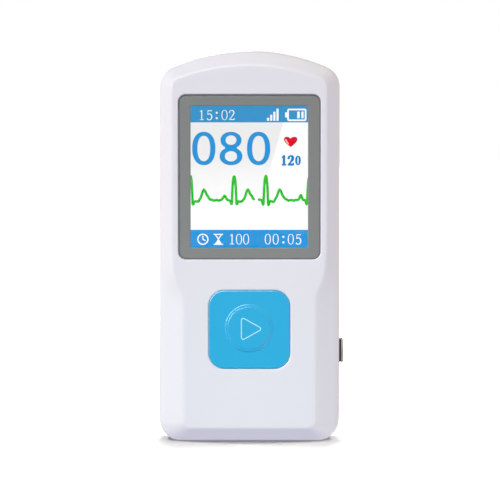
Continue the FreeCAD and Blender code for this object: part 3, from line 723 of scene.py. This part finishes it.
def rear_cover():
    b = Build()
    rows = rear_rows()
    outer = [b.add(lp) for lp in skin(rows, v_steps(len(rows), 5))]
    first, cap = b.chain(outer)
    cav = rear_cavity_rows()
    start = v_at(cav, 0.7)
    inner = [b.add(lp) for lp in skin(cav, [start] + [v for v in v_steps(len(cav), 3) if v > start + 0.05])]
    lip = [b.loop(smooth_loop(inset(OUTER, d)), y) for d, y in
           ((0.85, 0.0), (0.85, -1.1), (0.95, -1.2), (1.4, -1.2), (1.5, -1.1), (1.5, 0.7))]
    b.chain([first] + lip + inner)
    inside = REAR_D - WALL
    mouths, backs = [], []
    # contact plate recesses with their stud holes
    for z in PLATE_Z:
        mouth, floor = b.sweep(rr(PLATE_W + 0.3, PLATE_H + 0.3, PLATE_R + 0.15, 0, z, 12),
                               rounded([(0.4, REAR_D), (0, REAR_D), (0, REAR_D - 0.3)], [0.14], 5, 0.04))
        mouths.append(mouth)
        holes = [b.sweep(disc(r, x, z, 24), [(0, REAR_D - 0.3), (0, inside)]) for x, r in
                 ((0, 1.6), (-8, 1.1), (8, 1.1))]
        b.fill([floor] + [h[0] for h in holes])
        backs += [h[1] for h in holes]
    # blank label panel
    mouth, floor = b.sweep(rr(30.0, 32.0, 1.0, 0, 46.0),
                           rounded([(0.4, REAR_D), (0, REAR_D), (0, REAR_D - 0.2)], [0.1], 4, 0.04))
    mouths.append(mouth)
    b.fill([floor])
    # screw wells on posts
    for sx in (-1, 1):
        for z in SCREW_Z:
            x = sx * SCREW_X
            mouth, seat = b.sweep(disc(2.1, x, z, 48),
                                  rounded([(0.35, REAR_D), (0, REAR_D), (0, 3.4)], [0.2], 5, 0.04))
            hole = b.sweep(disc(1.15, x, z, 48), [(0, 3.4), (0, 0.0)])
            post = b.sweep(disc(2.5, x, z, 48), [(0, 0.0), (0, inside)])
            b.bridge(seat, hole[0])
            b.bridge(hole[1], post[0])
            mouths.append(mouth)
            backs.append(post[1])
    # sound holes
    for i in range(-2, 3):
        mouth, back = b.sweep(disc(0.55, i * 2.3, BUZZ_Z - 0.3, 24),
                              rounded([(0.22, REAR_D), (0, REAR_D), (0, inside)], [0.12], 4, 0.03))
        mouths.append(mouth)
        backs.append(back)
    b.fill([cap] + mouths)
    b.fill([inner[-1]] + backs)
    return b.piece("rear_shell", [shell_back], "housing", ["rear_cover"], "shell_white", cut_z=0.0, cutters=CUTTERS)


front_cover()
rear_cover()
discard(CUTTERS)


# ================================================================ display frame, lens and picture
def bezel():
    b = Build()
    side, front = b.sweep(rr(BEZ_W, BEZ_H, BEZ_R, BEZ_DX, WIN_Z + BEZ_DZ),
                          rounded([(0.08, -6.25), (0.08, -BEZ_OUT + 0.24), (-0.28, -BEZ_OUT), (-0.8, -BEZ_OUT)],
                                  [0.05, 0.08], 4, 0.03))
    inner, edge = b.sweep(rr(APE_W, APE_H, 0.3, 0, WIN_Z),
                          rounded([(0.6, -BEZ_OUT), (0.2, -BEZ_OUT), (0, -BEZ_OUT + 0.2), (0, -6.95)],
                                  [0.06, 0.06], 4, 0.03))
    rebate = [b.loop(rrect(31.0, 37.1, 1.0, 0, WIN_Z), y) for y in (-6.95, -6.25)]
    b.bridge(front, inner)
    b.chain([edge] + rebate + [side])
    return b.piece("display_frame", [bezel_grey], "housing", ["display_bezel"], "bezel_grey")


def window():
    b = Build()
    a, c = b.sweep(rr(30.8, 36.9, 0.9, 0, WIN_Z),
                   rounded([(-0.3, -6.94), (0, -6.94), (0, -6.26), (-0.3, -6.26)], [0.05, 0.05], 3, 0.03))
    b.fill([a])
    b.fill([c])
    return b.piece("display_lens", [lens], "housing", ["display_window"], "window_clear")


bezel()
window()


# ---------------------------------------------------------------- the picture on the display
def LX(u):
    return u - 14.56


def LZ(v):
    return 83.27 - v


def oval(cu, cv, ru, rv, n=48, power=2.0, a0=0.0, a1=360.0):
    """Superellipse in display coordinates (u right, v down)."""
    pts = []
    for k in range(n):
        a = math.radians(lerp(a0, a1, k / n))
        c, s = math.cos(a), math.sin(a)
        pts.append((LX(cu + ru * math.copysign(abs(c) ** (2 / power), c)),
                    LZ(cv - rv * math.copysign(abs(s) ** (2 / power), s))))
    return pts


def rect(u0, v0, u1, v1, r=0.0):
    if r <= 0:
        return [(LX(u0), LZ(v1)), (LX(u1), LZ(v1)), (LX(u1), LZ(v0)), (LX(u0), LZ(v0))]
    return rrect(u1 - u0, v1 - v0, r, LX((u0 + u1) / 2), LZ((v0 + v1) / 2), 4)


def curve_points(pts, n=6):
    """Smooth line through points given as (u, v, half width)."""
    out = []
    ext = [tuple(2 * a - b for a, b in zip(pts[0], pts[1]))] + pts + [tuple(2 * a - b for a, b in zip(pts[-1], pts[-2]))]
    for i in range(1, len(ext) - 2):
        p0, p1, p2, p3 = ext[i - 1:i + 3]
        for k in range(n):
            t = k / n
            out.append(tuple(0.5 * (2 * b + (c - a) * t + (2 * a - 5 * b + 4 * c - d) * t * t +
                                    (3 * b - a - 3 * c + d) * t ** 3) for a, b, c, d in zip(p0, p1, p2, p3)))
    return out + [pts[-1]]


def stroke(pts, smooth=True, n=6, joint=8):
    """Pen line as overlapping quads and round joints; points are (u, v, half width)."""
    path = curve_points(pts, n) if smooth else pts
    polys = []
    for (u0, v0, w0), (u1, v1, w1) in zip(path, path[1:]):
        du, dv = u1 - u0, v1 - v0
        d = math.hypot(du, dv)
        if d < 1e-5:
            continue
        nu, nv = -dv / d, du / d
        polys.append([(LX(u0 + nu * w0), LZ(v0 + nv * w0)), (LX(u1 + nu * w1), LZ(v1 + nv * w1)),
                      (LX(u1 - nu * w1), LZ(v1 - nv * w1)), (LX(u0 - nu * w0), LZ(v0 - nv * w0))])
    for u, v, w in path[::1]:
        polys.append([(LX(u + w * math.cos(2 * math.pi * (k + 0.31) / joint)),
                       LZ(v + w * math.sin(2 * math.pi * (k + 0.31) / joint))) for k in range(joint)])
    return polys


def small_digit(ch, u, v, w, h, k=1.0):
    """Slender digit with thick uprights and thin cross strokes. Returns (drawn, left clear) polygons."""
    T, t = 0.085 * h * k, 0.042 * h * k           # half widths of thick and thin strokes

    def P(x, y, s):
        return (u + x * w, v + y * h, s)
    if ch == "0":
        return [oval(u + w / 2, v + h / 2, w * 0.46, h * 0.5, 28, 2.2)], \
               [oval(u + w / 2, v + h / 2, w * 0.46 - 1.55 * T, h * 0.5 - 1.7 * t, 28, 2.2)]
    if ch == "1":
        return stroke([P(.52, .05, T * .85), P(.52, .94, T * .85)], False) + \
            stroke([P(.26, .17, t), P(.50, .06, T * .7)], False) + stroke([P(.24, .96, t), P(.80, .96, t)], False), []
    if ch == "2":
        return stroke([P(.14, .26, T * .9), P(.20, .11, t * 1.3), P(.45, .03, t * 1.2), P(.72, .10, T * .9),
                       P(.80, .27, T), P(.70, .45, T * .9), P(.45, .68, t * 1.3), P(.14, .93, t * 1.2)], True, 3) + \
            stroke([P(.14, .94, T * .75), P(.84, .94, T * .75), P(.88, .80, t)], False), []
    if ch == "5":
        return stroke([P(.24, .07, T * .7), P(.82, .07, T * .7)], False) + \
            stroke([P(.24, .07, t), P(.20, .45, t)], False) + \
            stroke([P(.20, .46, t * 1.1), P(.45, .37, t * 1.5), P(.72, .46, T * .9), P(.82, .67, T),
                    P(.72, .88, T * .9), P(.45, .98, t * 1.3), P(.20, .93, T * .8), P(.14, .85, T * .8)], True, 3), []
    if ch == ":":
        return [oval(u + w * .5, v + h * .27, .105 * h, .105 * h, 12), oval(u + w * .5, v + h * .80, .105 * h, .105 * h, 12)], []
    raise ValueError(ch)


def heart_shape(cu, cv, su, sv, n=44):
    pts = []
    for k in range(n):
        a = 2 * math.pi * k / n
        x = math.copysign(abs(math.sin(a)) ** 2.5, math.sin(a))
        y = (13 * math.cos(a) - 5 * math.cos(2 * a) - 2 * math.cos(3 * a) - 0.4 * math.cos(4 * a)) / 16.0
        pts.append((LX(cu + su * x), LZ(cv - sv * (y + 0.14))))
    return pts


def heartbeat(u):
    """Height of the trace in mm above its base line: four beats of small waves."""
    def hump(c, h, w, p=2.0):
        return h * math.exp(-(abs(u - c) / w) ** p)
    y = 0.0
    for r, p, t in ((-0.05, -2.3, 3.36), (10.81, -2.40, 3.40), (18.66, -2.2, 3.40), (29.46, -2.15, 3.3)):
        d = abs(u - r)
        if d < 0.56:           # tall narrow spike with a rounded tip
            y += 5.95 * (1 - (d / 0.56) ** 2.4)
        y -= 1.10 * math.exp(-((d - 0.68) / 0.20) ** 2)
        y += hump(r + p, 1.25, 0.40, 1.5) + hump(r + t, 2.75, 0.66, 1.5) + hump(r + t + 0.9, 0.5, 0.6)
        y -= hump(r + 1.7, 0.45, 0.6)
    return y + 0.08 * math.sin(u * 5.1) + 0.06 * math.sin(u * 8.7 + 1.0)


def trace(u0, u1):
    """Pen line of the trace from u0 to u1, with points evenly spaced along it."""
    fine = [(lerp(u0, u1, k / 3000), 23.4 - heartbeat(lerp(u0, u1, k / 3000))) for k in range(3001)]
    out, run = [fine[0]], 0.0
    for p, q in zip(fine, fine[1:]):
        run += math.dist(p, q)
        if run > 0.24:
            out.append(q)
            run = 0.0
    out.append(fine[-1])
    return stroke([(a, b, 0.325) for a, b in out], False, joint=8)


def picture():
    """Everything drawn on the display, in order: what comes later lies on top."""
    out = []

    def draw(polys, m):
        out.extend((p, m) for p in polys)
    WHITE, TOP, BOTTOM, TEXT, DIGIT, SMALL, RED, PINK, GREEN, DARK = (1, 2, 3, 4, 5, 6, 7, 8, 9, 11)
    # white field; its material carries the painted reflection of the glass
    draw([rect(-0.25, -0.25, 29.37, 35.5)], WHITE)
    draw([rect(-0.25, -0.25, 29.37, 4.12)], TOP)
    draw([rect(-0.25, 30.72, 29.37, 35.5)], BOTTOM)
    # clock in the top bar
    for ch, u, w in (("1", 1.95, 1.62), ("5", 3.95, 1.62), (":", 5.75, 1.5), ("0", 7.62, 1.62), ("2", 9.45, 1.62)):
        on, off = small_digit(ch, u, 1.05, w, 2.5, 0.59)
        draw(on, TEXT)
        draw(off, TOP)
    # signal bars
    for i in range(4):
        draw([rect(18.95 + i * 0.78, 3.72 - 0.75 * (i + 1), 19.47 + i * 0.78, 3.72)], TEXT)
    # battery
    draw([rect(23.95, 0.72, 28.70, 3.80, 0.42)], TEXT)
    draw([rect(24.36, 1.13, 28.29, 3.39, 0.12)], TOP)
    draw([rect(23.42, 1.62, 24.2, 2.90, 0.15)], TEXT)
    draw([rect(26.42, 1.44, 27.05, 3.08), rect(27.45, 1.44, 28.0, 3.08)], TEXT)
    # large digits
    for cu in (3.30, 16.87):
        draw([oval(cu, 10.57, 2.88, 4.13, 72, 2.25)], DIGIT)
        draw([oval(cu, 10.57, 1.58, 3.13, 64, 2.25)], WHITE)
    draw([oval(10.03, 8.52, 2.60, 2.07, 60, 2.1), oval(10.03, 12.50, 2.83, 2.20, 60, 2.1),
          rect(8.55, 9.6, 11.51, 11.3)], DIGIT)
    draw([oval(10.03, 8.50, 1.33, 1.16, 48, 2.1), oval(10.03, 12.50, 1.50, 1.27, 48, 2.1)], WHITE)
    # heart
    draw([heart_shape(24.80, 8.93, 1.66, 1.50)], DARK)
    draw([heart_shape(24.73, 8.87, 1.56, 1.40)], RED)
    draw(stroke([(23.60, 8.30, 0.10), (23.72, 8.72, 0.17), (24.00, 9.12, 0.15), (24.34, 9.48, 0.08)], True, 4), PINK)
    # plain number under it
    for ch, u in (("1", 22.35), ("2", 24.1), ("0", 25.85)):
        on, off = small_digit(ch, u, 12.35, 1.55, 2.35, 1.85)
        draw(on, SMALL)
        draw(off, WHITE)
    # trace with its moving gap
    draw(trace(-0.2, 15.7) + trace(16.95, 29.3), GREEN)
    # timer: clock face, hourglass, digits
    draw([oval(3.05, 33.08, 1.40, 1.40, 36)], TEXT)
    draw([oval(3.05, 33.08, 1.10, 1.10, 36)], BOTTOM)
    draw(stroke([(3.05, 33.08, .12), (3.05, 32.28, .12)], False) + stroke([(3.05, 33.08, .12), (3.62, 33.40, .12)], False), TEXT)
    draw([rect(5.75, 31.72, 8.05, 31.98), rect(5.75, 34.2, 8.05, 34.46),
          [(LX(5.98), LZ(31.9)), (LX(6.80), LZ(33.09)), (LX(5.98), LZ(34.28)), (LX(7.82), LZ(34.28)),
           (LX(7.00), LZ(33.09)), (LX(7.82), LZ(31.9))][::-1]], TEXT)
    draw([[(LX(6.33), LZ(31.98)), (LX(7.47), LZ(31.98)), (LX(6.90), LZ(32.80))]], BOTTOM)
    for ch, u in (("1", 9.45), ("0", 11.2), ("0", 12.95), ("0", 18.35), ("0", 20.3), (":", 22.2), ("0", 24.05),
                  ("5", 26.0)):
        on, off = small_digit(ch, u, 31.75, 1.62, 2.62, 0.63)
        draw(on, TEXT)
        draw(off, BOTTOM)
    return out


def display():
    b = Build()
    x0, x1, z0, z1 = -16.6, 16.6, 43.6, 84.4
    cx, cz = (x0 + x1) / 2, (z0 + z1) / 2
    front, back = b.sweep(lambda o: rrect(x1 - x0 + 2 * o, z1 - z0 + 2 * o, 0.15 + o * 0.5, cx, cz, 3),
                          [(-0.08, -5.1), (0, -5.02), (0, -3.88), (-0.08, -3.8)], 10)
    b.fill([front], 0, regions=picture())
    b.fill([back], 10)
    return b.piece("display_screen", [lcd_border, lcd_white_painted_glare, lcd_top, lcd_bottom, lcd_text, lcd_digit, lcd_small,
                                      lcd_red, lcd_pink, lcd_green, lcd_body, lcd_dark], "housing", ["lcd_glass"], "lcd_panel",
                   angle=25)


display()


# ================================================================ measuring key
def shifted(poly, d):
    """A convex polygon, given anticlockwise, with its edges moved outwards by d."""
    n = len(poly)
    lines = []
    for i in range(n):
        (x0, y0), (x1, y1) = poly[i], poly[(i + 1) % n]
        k = math.hypot(x1 - x0, y1 - y0)
        nx, ny = (y1 - y0) / k, -(x1 - x0) / k
        lines.append((nx, ny, nx * x0 + ny * y0 + d))
    out = []
    for i in range(n):
        a, b = lines[i - 1], lines[i]
        det = a[0] * b[1] - a[1] * b[0]
        out.append(((a[2] * b[1] - a[1] * b[2]) / det, (a[0] * b[2] - a[2] * b[0]) / det))
    return out


def soft_polygon(poly, r, seg=8):
    ring = rounded([poly[-1]] + list(poly) + [poly[0]], [r] * len(poly), seg, 0.0)
    return ring[1:-1]


def measure_key():
    b = Build()
    k = rr(KEY_W, KEY_H, KEY_R, 0, KEY_Z, 14)
    side, front = b.sweep(k, rounded([(0.04, -5.85), (0.04, -KEY_OUT + 0.21), (-0.26, -KEY_OUT), (-0.9, -KEY_OUT)],
                                    [0.03, 0.06], 5, 0.02))
    flange = [b.loop(rrect(KEY_W + 2.0, KEY_H + 2.0, KEY_R + 1.0, 0, KEY_Z, 14), y) for y in (-5.85, -5.05)]
    recess = [b.loop(rrect(KEY_W - 2.8, KEY_H - 2.8, KEY_R - 1.4, 0, KEY_Z, 14), y) for y in (-5.05, -6.45)]
    b.chain([side] + flange + recess)
    stem = b.sweep(disc(1.7, 0, KEY_Z, 32), [(0, -6.45), (0, -4.2), (-0.1, -4.1)])
    b.fill([recess[-1], stem[0]])
    b.fill([stem[1]])
    # raised disc in two steps
    y1, y2 = -KEY_OUT - 0.17, -KEY_OUT - 0.28
    prof = rounded([(6.2, -KEY_OUT), (5.94, -KEY_OUT), (5.69, y1), (5.31, y1), (5.15, y2), (4.9, y2)],
                   [0.03, 0.05, 0.03, 0.04], 4, 0.02)
    base, top = b.sweep(lambda r: circle(r, -0.12, DISC_Z - 0.12, 128), prof)
    b.fill([front, base])
    tri = [(-2.08, 24.95), (3.52, 28.10), (-2.08, 31.25)]
    line_out = soft_polygon(tri, 0.60)
    line_in = soft_polygon(shifted(tri, -0.235), 0.365)
    b.fill([top], 0, regions=[(line_out, 1), (line_in, 0)])
    return b.piece("measuring_key", [key_blue, key_print], "measure_button", ["measure_key"], "key_blue", angle=40)


measure_key()


# ================================================================ power key
def power_key():
    b = Build()

    def lean(z):
        return 0.18 * (z - (PKEY_Z - PKEY_H / 2)) / 7.0

    def ring(o, x):
        pts = rrect(PKEY_T + 2 * o, PKEY_H + 2 * o, max(0.85 + o, 0.05), 0.0, PKEY_Z, 8)
        part = max(0.0, (x - 23.0) / (PKEY_X - 23.0))
        return b.add([(x - lean(z) * part, y, z) for y, z in pts])
    flange = [b.add([(x, y, z) for y, z in rrect(4.2, 8.0, 1.0, 0.0, PKEY_Z, 8)]) for x in (20.2, 20.82)]
    neck = [ring(-0.10, x) for x in (20.82, 22.93)] + [ring(-0.02, 22.98)]
    prof = rounded([(0.0, 23.0), (0.0, PKEY_X), (-0.7, PKEY_X)], [0.34], 6, 0.04)
    cap = [ring(o, x) for o, x in prof]
    stem = [b.add([(x, y, z) for y, z in circle(0.8, 0.0, PKEY_Z, 36)]) for x in (19.6, 20.2)]
    b.fill([stem[0]], axes=(1, 2))
    b.chain(stem, 1)
    b.fill([flange[0], stem[1]], 1, axes=(1, 2))
    b.chain(flange + neck, 1)
    b.bridge(neck[-1], cap[0], 1)
    b.chain(cap, 0)
    # outer face: one slanted polygon
    b.faces.append(tuple(cap[-1]))
    b.mats.append(0)
    return b.piece("power_push_key", [key_metal, key_base], "power_button", ["power_key"], "key_metal", angle=40)


power_key()


# ================================================================ contact plates on the back
def contact_plate(name, z, node):
    b = Build()
    y = REAR_D + 0.3
    top, wall = b.sweep(rr(PLATE_W, PLATE_H, PLATE_R, 0, z, 12),
                        rounded([(-0.6, y), (0, y), (0, REAR_D - 0.3)], [0.28], 6, 0.04))
    b.fill([top])
    studs = []
    for x, r, tip in ((0, 1.5, 5.2), (-8, 1.0, 4.6), (8, 1.0, 4.6)):
        s = b.sweep(disc(r, x, z, 32), [(0, REAR_D - 0.3), (0, tip + 0.1), (-0.1, tip)])
        b.fill([s[1]])
        studs.append(s[0])
    b.fill([wall] + studs)
    return b.piece(name, [steel], "housing", [node], "steel", angle=40)


contact_plate("contact_plate_upper", PLATE_Z[0], "upper_electrode")
contact_plate("contact_plate_lower", PLATE_Z[1], "lower_electrode")

# ================================================================ finishes of the CAD nodes that stay
FINISH = {
    "bezel_tape": foam, "lcd_gasket": foam, "lcd_backlight": white_frame, "lcd_flex": amber,
    "lcd_connector": ivory_nylon, "main_board": board, "processor_chip": chip, "ecg_chip": chip,
    "memory_chip": chip, "charger_chip": chip, "crystal": tin, "radio_module": tin, "board_passives": ceramic,
    "buzzer": black_nylon, "measure_switch": black_nylon, "measure_switch_plunger": ivory_nylon,
    "power_switch": black_nylon, "power_switch_plunger": ivory_nylon, "battery": foil, "battery_pad": foam,
    "battery_connector": ivory_nylon, "battery_lead_red": red_lead, "battery_lead_black": black_lead,
    "usb_shell": steel_plain, "usb_tongue": black_nylon, "upper_contact_pin": gold, "lower_contact_pin": gold,
    "electrode_push_nuts": steel_plain, "blank_label": film, "case_screws": steel_plain,
    "board_screws": steel_plain, "front_cover": shell, "rear_cover": shell_back, "display_bezel": bezel_grey,
    "display_window": lens, "lcd_glass": lcd_body, "measure_key": key_blue, "power_key": key_metal,
    "upper_electrode": steel, "lower_electrode": steel,
}
for name, obj in NODES.items():
    mat = FINISH[name]
    if not obj.data.materials:
        obj.data.materials.append(mat)
    for s in obj.material_slots:
        s.material = mat

# ================================================================ studio
scene = bpy.context.scene
scene.view_settings.view_transform = "Standard"
scene.view_settings.look = "None"

floor_mesh = bpy.data.meshes.new("floor")
F = 3.0
floor_mesh.from_pydata([(-F, -F, -2e-5), (F, -F, -2e-5), (F, F, -2e-5), (-F, F, -2e-5)], [], [(0, 1, 2, 3)])
floor = bpy.data.objects.new("floor", floor_mesh)
scene.collection.objects.link(floor)
floor_mesh.materials.append(moulded("floor_white", (0.5, 0.5, 0.5, 1), rough=0.9, vary=0.004, cloud=6.0,
                                    strength=0.0, Specular_IOR_Level=0.0))
floor.visible_diffuse = False      # the tent's light reaches the object from below as well
floor.visible_glossy = False

# light from all round, a little stronger from the left and above, as in a light tent
world = bpy.data.worlds.new("studio")
scene.world = world
world.use_nodes = True
nt = world.node_tree
nt.nodes.clear()


def wn(kind, **values):
    n = nt.nodes.new(kind)
    for k, v in values.items():
        setattr(n, k, v)
    return n


AMBIENT = {"base": (0.733, 0.665, 0.614), "left": (-1.334, -1.131, -0.696),
           "up": (-0.584, -0.541, -0.534),
           "front": (-0.014, 0.036, 0.087), "side": (1.845, 1.555, 0.843)}
coord = wn("ShaderNodeTexCoord")
axes = wn("ShaderNodeSeparateXYZ")
nt.links.new(coord.outputs["Generated"], axes.inputs[0])
cube = wn("ShaderNodeMath", operation="MULTIPLY")          # x cubed: felt at the very sides only
square = wn("ShaderNodeMath", operation="MULTIPLY")
nt.links.new(axes.outputs["X"], square.inputs[0])
nt.links.new(axes.outputs["X"], square.inputs[1])
nt.links.new(square.outputs[0], cube.inputs[0])
nt.links.new(axes.outputs["X"], cube.inputs[1])
behind = wn("ShaderNodeMath", operation="MAXIMUM")           # from behind on the left more than on the right
behind.inputs[1].default_value = 0.0
nt.links.new(axes.outputs["Y"], behind.inputs[0])
rear = wn("ShaderNodeMath", operation="MULTIPLY")
nt.links.new(behind.outputs[0], rear.inputs[0])
nt.links.new(axes.outputs["X"], rear.inputs[1])
dots = []
for c in range(3):
    dot = wn("ShaderNodeVectorMath", operation="DOT_PRODUCT")
    dot.inputs[1].default_value = (-AMBIENT["left"][c], -AMBIENT["front"][c], AMBIENT["up"][c])
    nt.links.new(coord.outputs["Generated"], dot.inputs[0])
    side = wn("ShaderNodeMath", operation="MULTIPLY_ADD")
    nt.links.new(cube.outputs[0], side.inputs[0])
    side.inputs[1].default_value = -AMBIENT["side"][c]
    nt.links.new(dot.outputs["Value"], side.inputs[2])
    skew = wn("ShaderNodeMath", operation="MULTIPLY_ADD")
    nt.links.new(rear.outputs[0], skew.inputs[0])
    skew.inputs[1].default_value = -0.45
    nt.links.new(side.outputs[0], skew.inputs[2])
    add = wn("ShaderNodeMath", operation="ADD", use_clamp=False)
    nt.links.new(skew.outputs[0], add.inputs[0])
    add.inputs[1].default_value = AMBIENT["base"][c]
    dots.append(add.outputs[0])
rgb = wn("ShaderNodeCombineXYZ")
for c in range(3):
    nt.links.new(dots[c], rgb.inputs[c])
# dark blue-grey straight below, where a table would be in shadow
low = wn("ShaderNodeMapRange", interpolation_type="SMOOTHSTEP")
for k, v in (("From Min", -1.0), ("From Max", -0.68), ("To Min", 0.0), ("To Max", 1.0)):
    low.inputs[k].default_value = v
nt.links.new(axes.outputs["Z"], low.inputs["Value"])
under = wn("ShaderNodeMix", data_type="RGBA", blend_type="MIX")
sockets = {i.name: i for i in under.inputs if i.enabled}
nt.links.new(low.outputs[0], sockets["Factor"])
sockets["A"].default_value = (0.03, 0.06, 0.40, 1)
sockets["B"].default_value = (1, 1, 1, 1)
tinted = wn("ShaderNodeVectorMath", operation="MULTIPLY")
nt.links.new(rgb.outputs[0], tinted.inputs[0])
nt.links.new([o for o in under.outputs if o.enabled][0], tinted.inputs[1])
# small dark gap in the tent straight in front of the object, where a lens looks in
gap = wn("ShaderNodeVectorMath", operation="DOT_PRODUCT")
gap.inputs[1].default_value = (0.0, -1.0, 0.0)
nt.links.new(coord.outputs["Generated"], gap.inputs[0])
dark = wn("ShaderNodeMapRange", interpolation_type="SMOOTHSTEP")
for k, v in (("From Min", math.cos(math.radians(15))), ("From Max", math.cos(math.radians(8))), ("To Min", 1.0),
             ("To Max", 0.10)):
    dark.inputs[k].default_value = v
nt.links.new(gap.outputs["Value"], dark.inputs["Value"])
tent = wn("ShaderNodeVectorMath", operation="SCALE")
nt.links.new(tinted.outputs[0], tent.inputs[0])
nt.links.new(dark.outputs[0], tent.inputs["Scale"])
light_bg = wn("ShaderNodeBackground")
nt.links.new(tent.outputs[0], light_bg.inputs["Color"])
seen_bg = wn("ShaderNodeBackground")
seen_bg.inputs["Color"].default_value = (1, 1, 1, 1)
seen_bg.inputs["Strength"].default_value = 1.0
path = wn("ShaderNodeLightPath")
choose = wn("ShaderNodeMixShader")
nt.links.new(path.outputs["Is Camera Ray"], choose.inputs[0])
nt.links.new(light_bg.outputs[0], choose.inputs[1])
nt.links.new(seen_bg.outputs[0], choose.inputs[2])
wout = wn("ShaderNodeOutputWorld")
nt.links.new(choose.outputs[0], wout.inputs["Surface"])


def aim(obj, target, across=None):
    """Points obj's -Z at the target, with its X along the direction given by across."""
    if across is None:
        obj.rotation_euler = (Vector(target) - obj.location).to_track_quat("-Z", "Y").to_euler()
        return
    z = (obj.location - Vector(target)).normalized()
    x = (Vector(across) - z * z.dot(Vector(across))).normalized()
    obj.rotation_euler = Matrix((x, z.cross(x), z)).transposed().to_euler()


def softbox(name, place, size, energy, target=(0, 0, 0.05), colour=(1, 1, 1), across=None):
    data = bpy.data.lights.new(name, "AREA")
    data.shape = "RECTANGLE"
    data.size, data.size_y = size
    data.energy = energy
    data.color = colour
    obj = bpy.data.objects.new(name, data)
    obj.location = place
    scene.collection.objects.link(obj)
    aim(obj, target, across)
    return obj


KEY_POWER = 30.0
FILL_POWER = 2.4
key_at = Vector((-0.558, -0.375, 0.740)) * 1.6 + Vector((0, 0, 0.05))
key = softbox("key_softbox", key_at, (3.4, 0.42), KEY_POWER, colour=(1.0, 1.0, 1.0), across=(0.799, 0.0, 0.602))

# faint cool fill low in front, a little stronger on the lower half of the object
fill = bpy.data.lights.new("low_fill", "SPOT")
fill.energy = FILL_POWER
fill.color = (0.61, 0.98, 1.0)
fill.spot_size, fill.spot_blend = math.radians(13.0), 1.0
fill.shadow_soft_size = 0.05
fill.specular_factor = 0.0
fill_obj = bpy.data.objects.new("low_fill", fill)
fill_obj.location = (0.0, -0.62, 0.10)
scene.collection.objects.link(fill_obj)
aim(fill_obj, (0.0, 0.0, 0.005))

# large cool softbox behind, for the back and the far edges
BACK_POWER = 9.8
back_light = softbox("back_softbox", (-0.4, 1.4, 0.3), (0.8, 0.8), BACK_POWER, colour=(0.56, 0.74, 1.0))

# overhead lights for the floor alone: they keep it white and leave only a thin contact shadow
only_floor = bpy.data.collections.new("floor_only")
only_floor.objects.link(floor)
suns = [(0.0, 0.25, 1.082)] + [(side * x, y, e) for x, y, e in ((0.05, 0.25, 1.375), (0.25, 0.25, 0.513),
                                                                (0.55, 0.25, 0.888), (0.55, 0.15, 1.334),
                                                                (0.55, 0.03, 0.757)) for side in (-1, 1)]
for k, (over, back, energy) in enumerate(suns):
    sun = bpy.data.lights.new("floor_light_%d" % k, "SUN")
    sun.energy = energy
    sun.angle = math.radians(3)
    sun_obj = bpy.data.objects.new("floor_light_%d" % k, sun)
    sun_obj.location = (0.2 * (k - 4), 0.2, 1.2)
    scene.collection.objects.link(sun_obj)
    aim(sun_obj, sun_obj.location + Vector((-over, -back, -1.0)))
    sun_obj.light_linking.receiver_collection = only_floor

# the other lights leave the floor out
not_floor = bpy.data.collections.new("all_but_floor")
not_floor.objects.link(floor)
not_floor.collection_objects[0].light_linking.link_state = "EXCLUDE"
for obj in (key, fill_obj, back_light):
    obj.light_linking.receiver_collection = not_floor

# ---------------------------------------------------------------- camera
cam_data = bpy.data.cameras.new("camera")
cam = bpy.data.objects.new("camera", cam_data)
scene.collection.objects.link(cam)
DIST, ELEV = 0.70, math.radians(3.0)
TARGET = Vector((0.000175, 0.0, 0.04725))
cam.location = TARGET + Vector((0.0, -DIST * math.cos(ELEV), DIST * math.sin(ELEV)))
aim(cam, TARGET)
cam_data.sensor_width = 36.0
cam_data.lens = 36.0 * DIST / 0.125
cam_data.clip_start = 0.01
scene.camera = cam
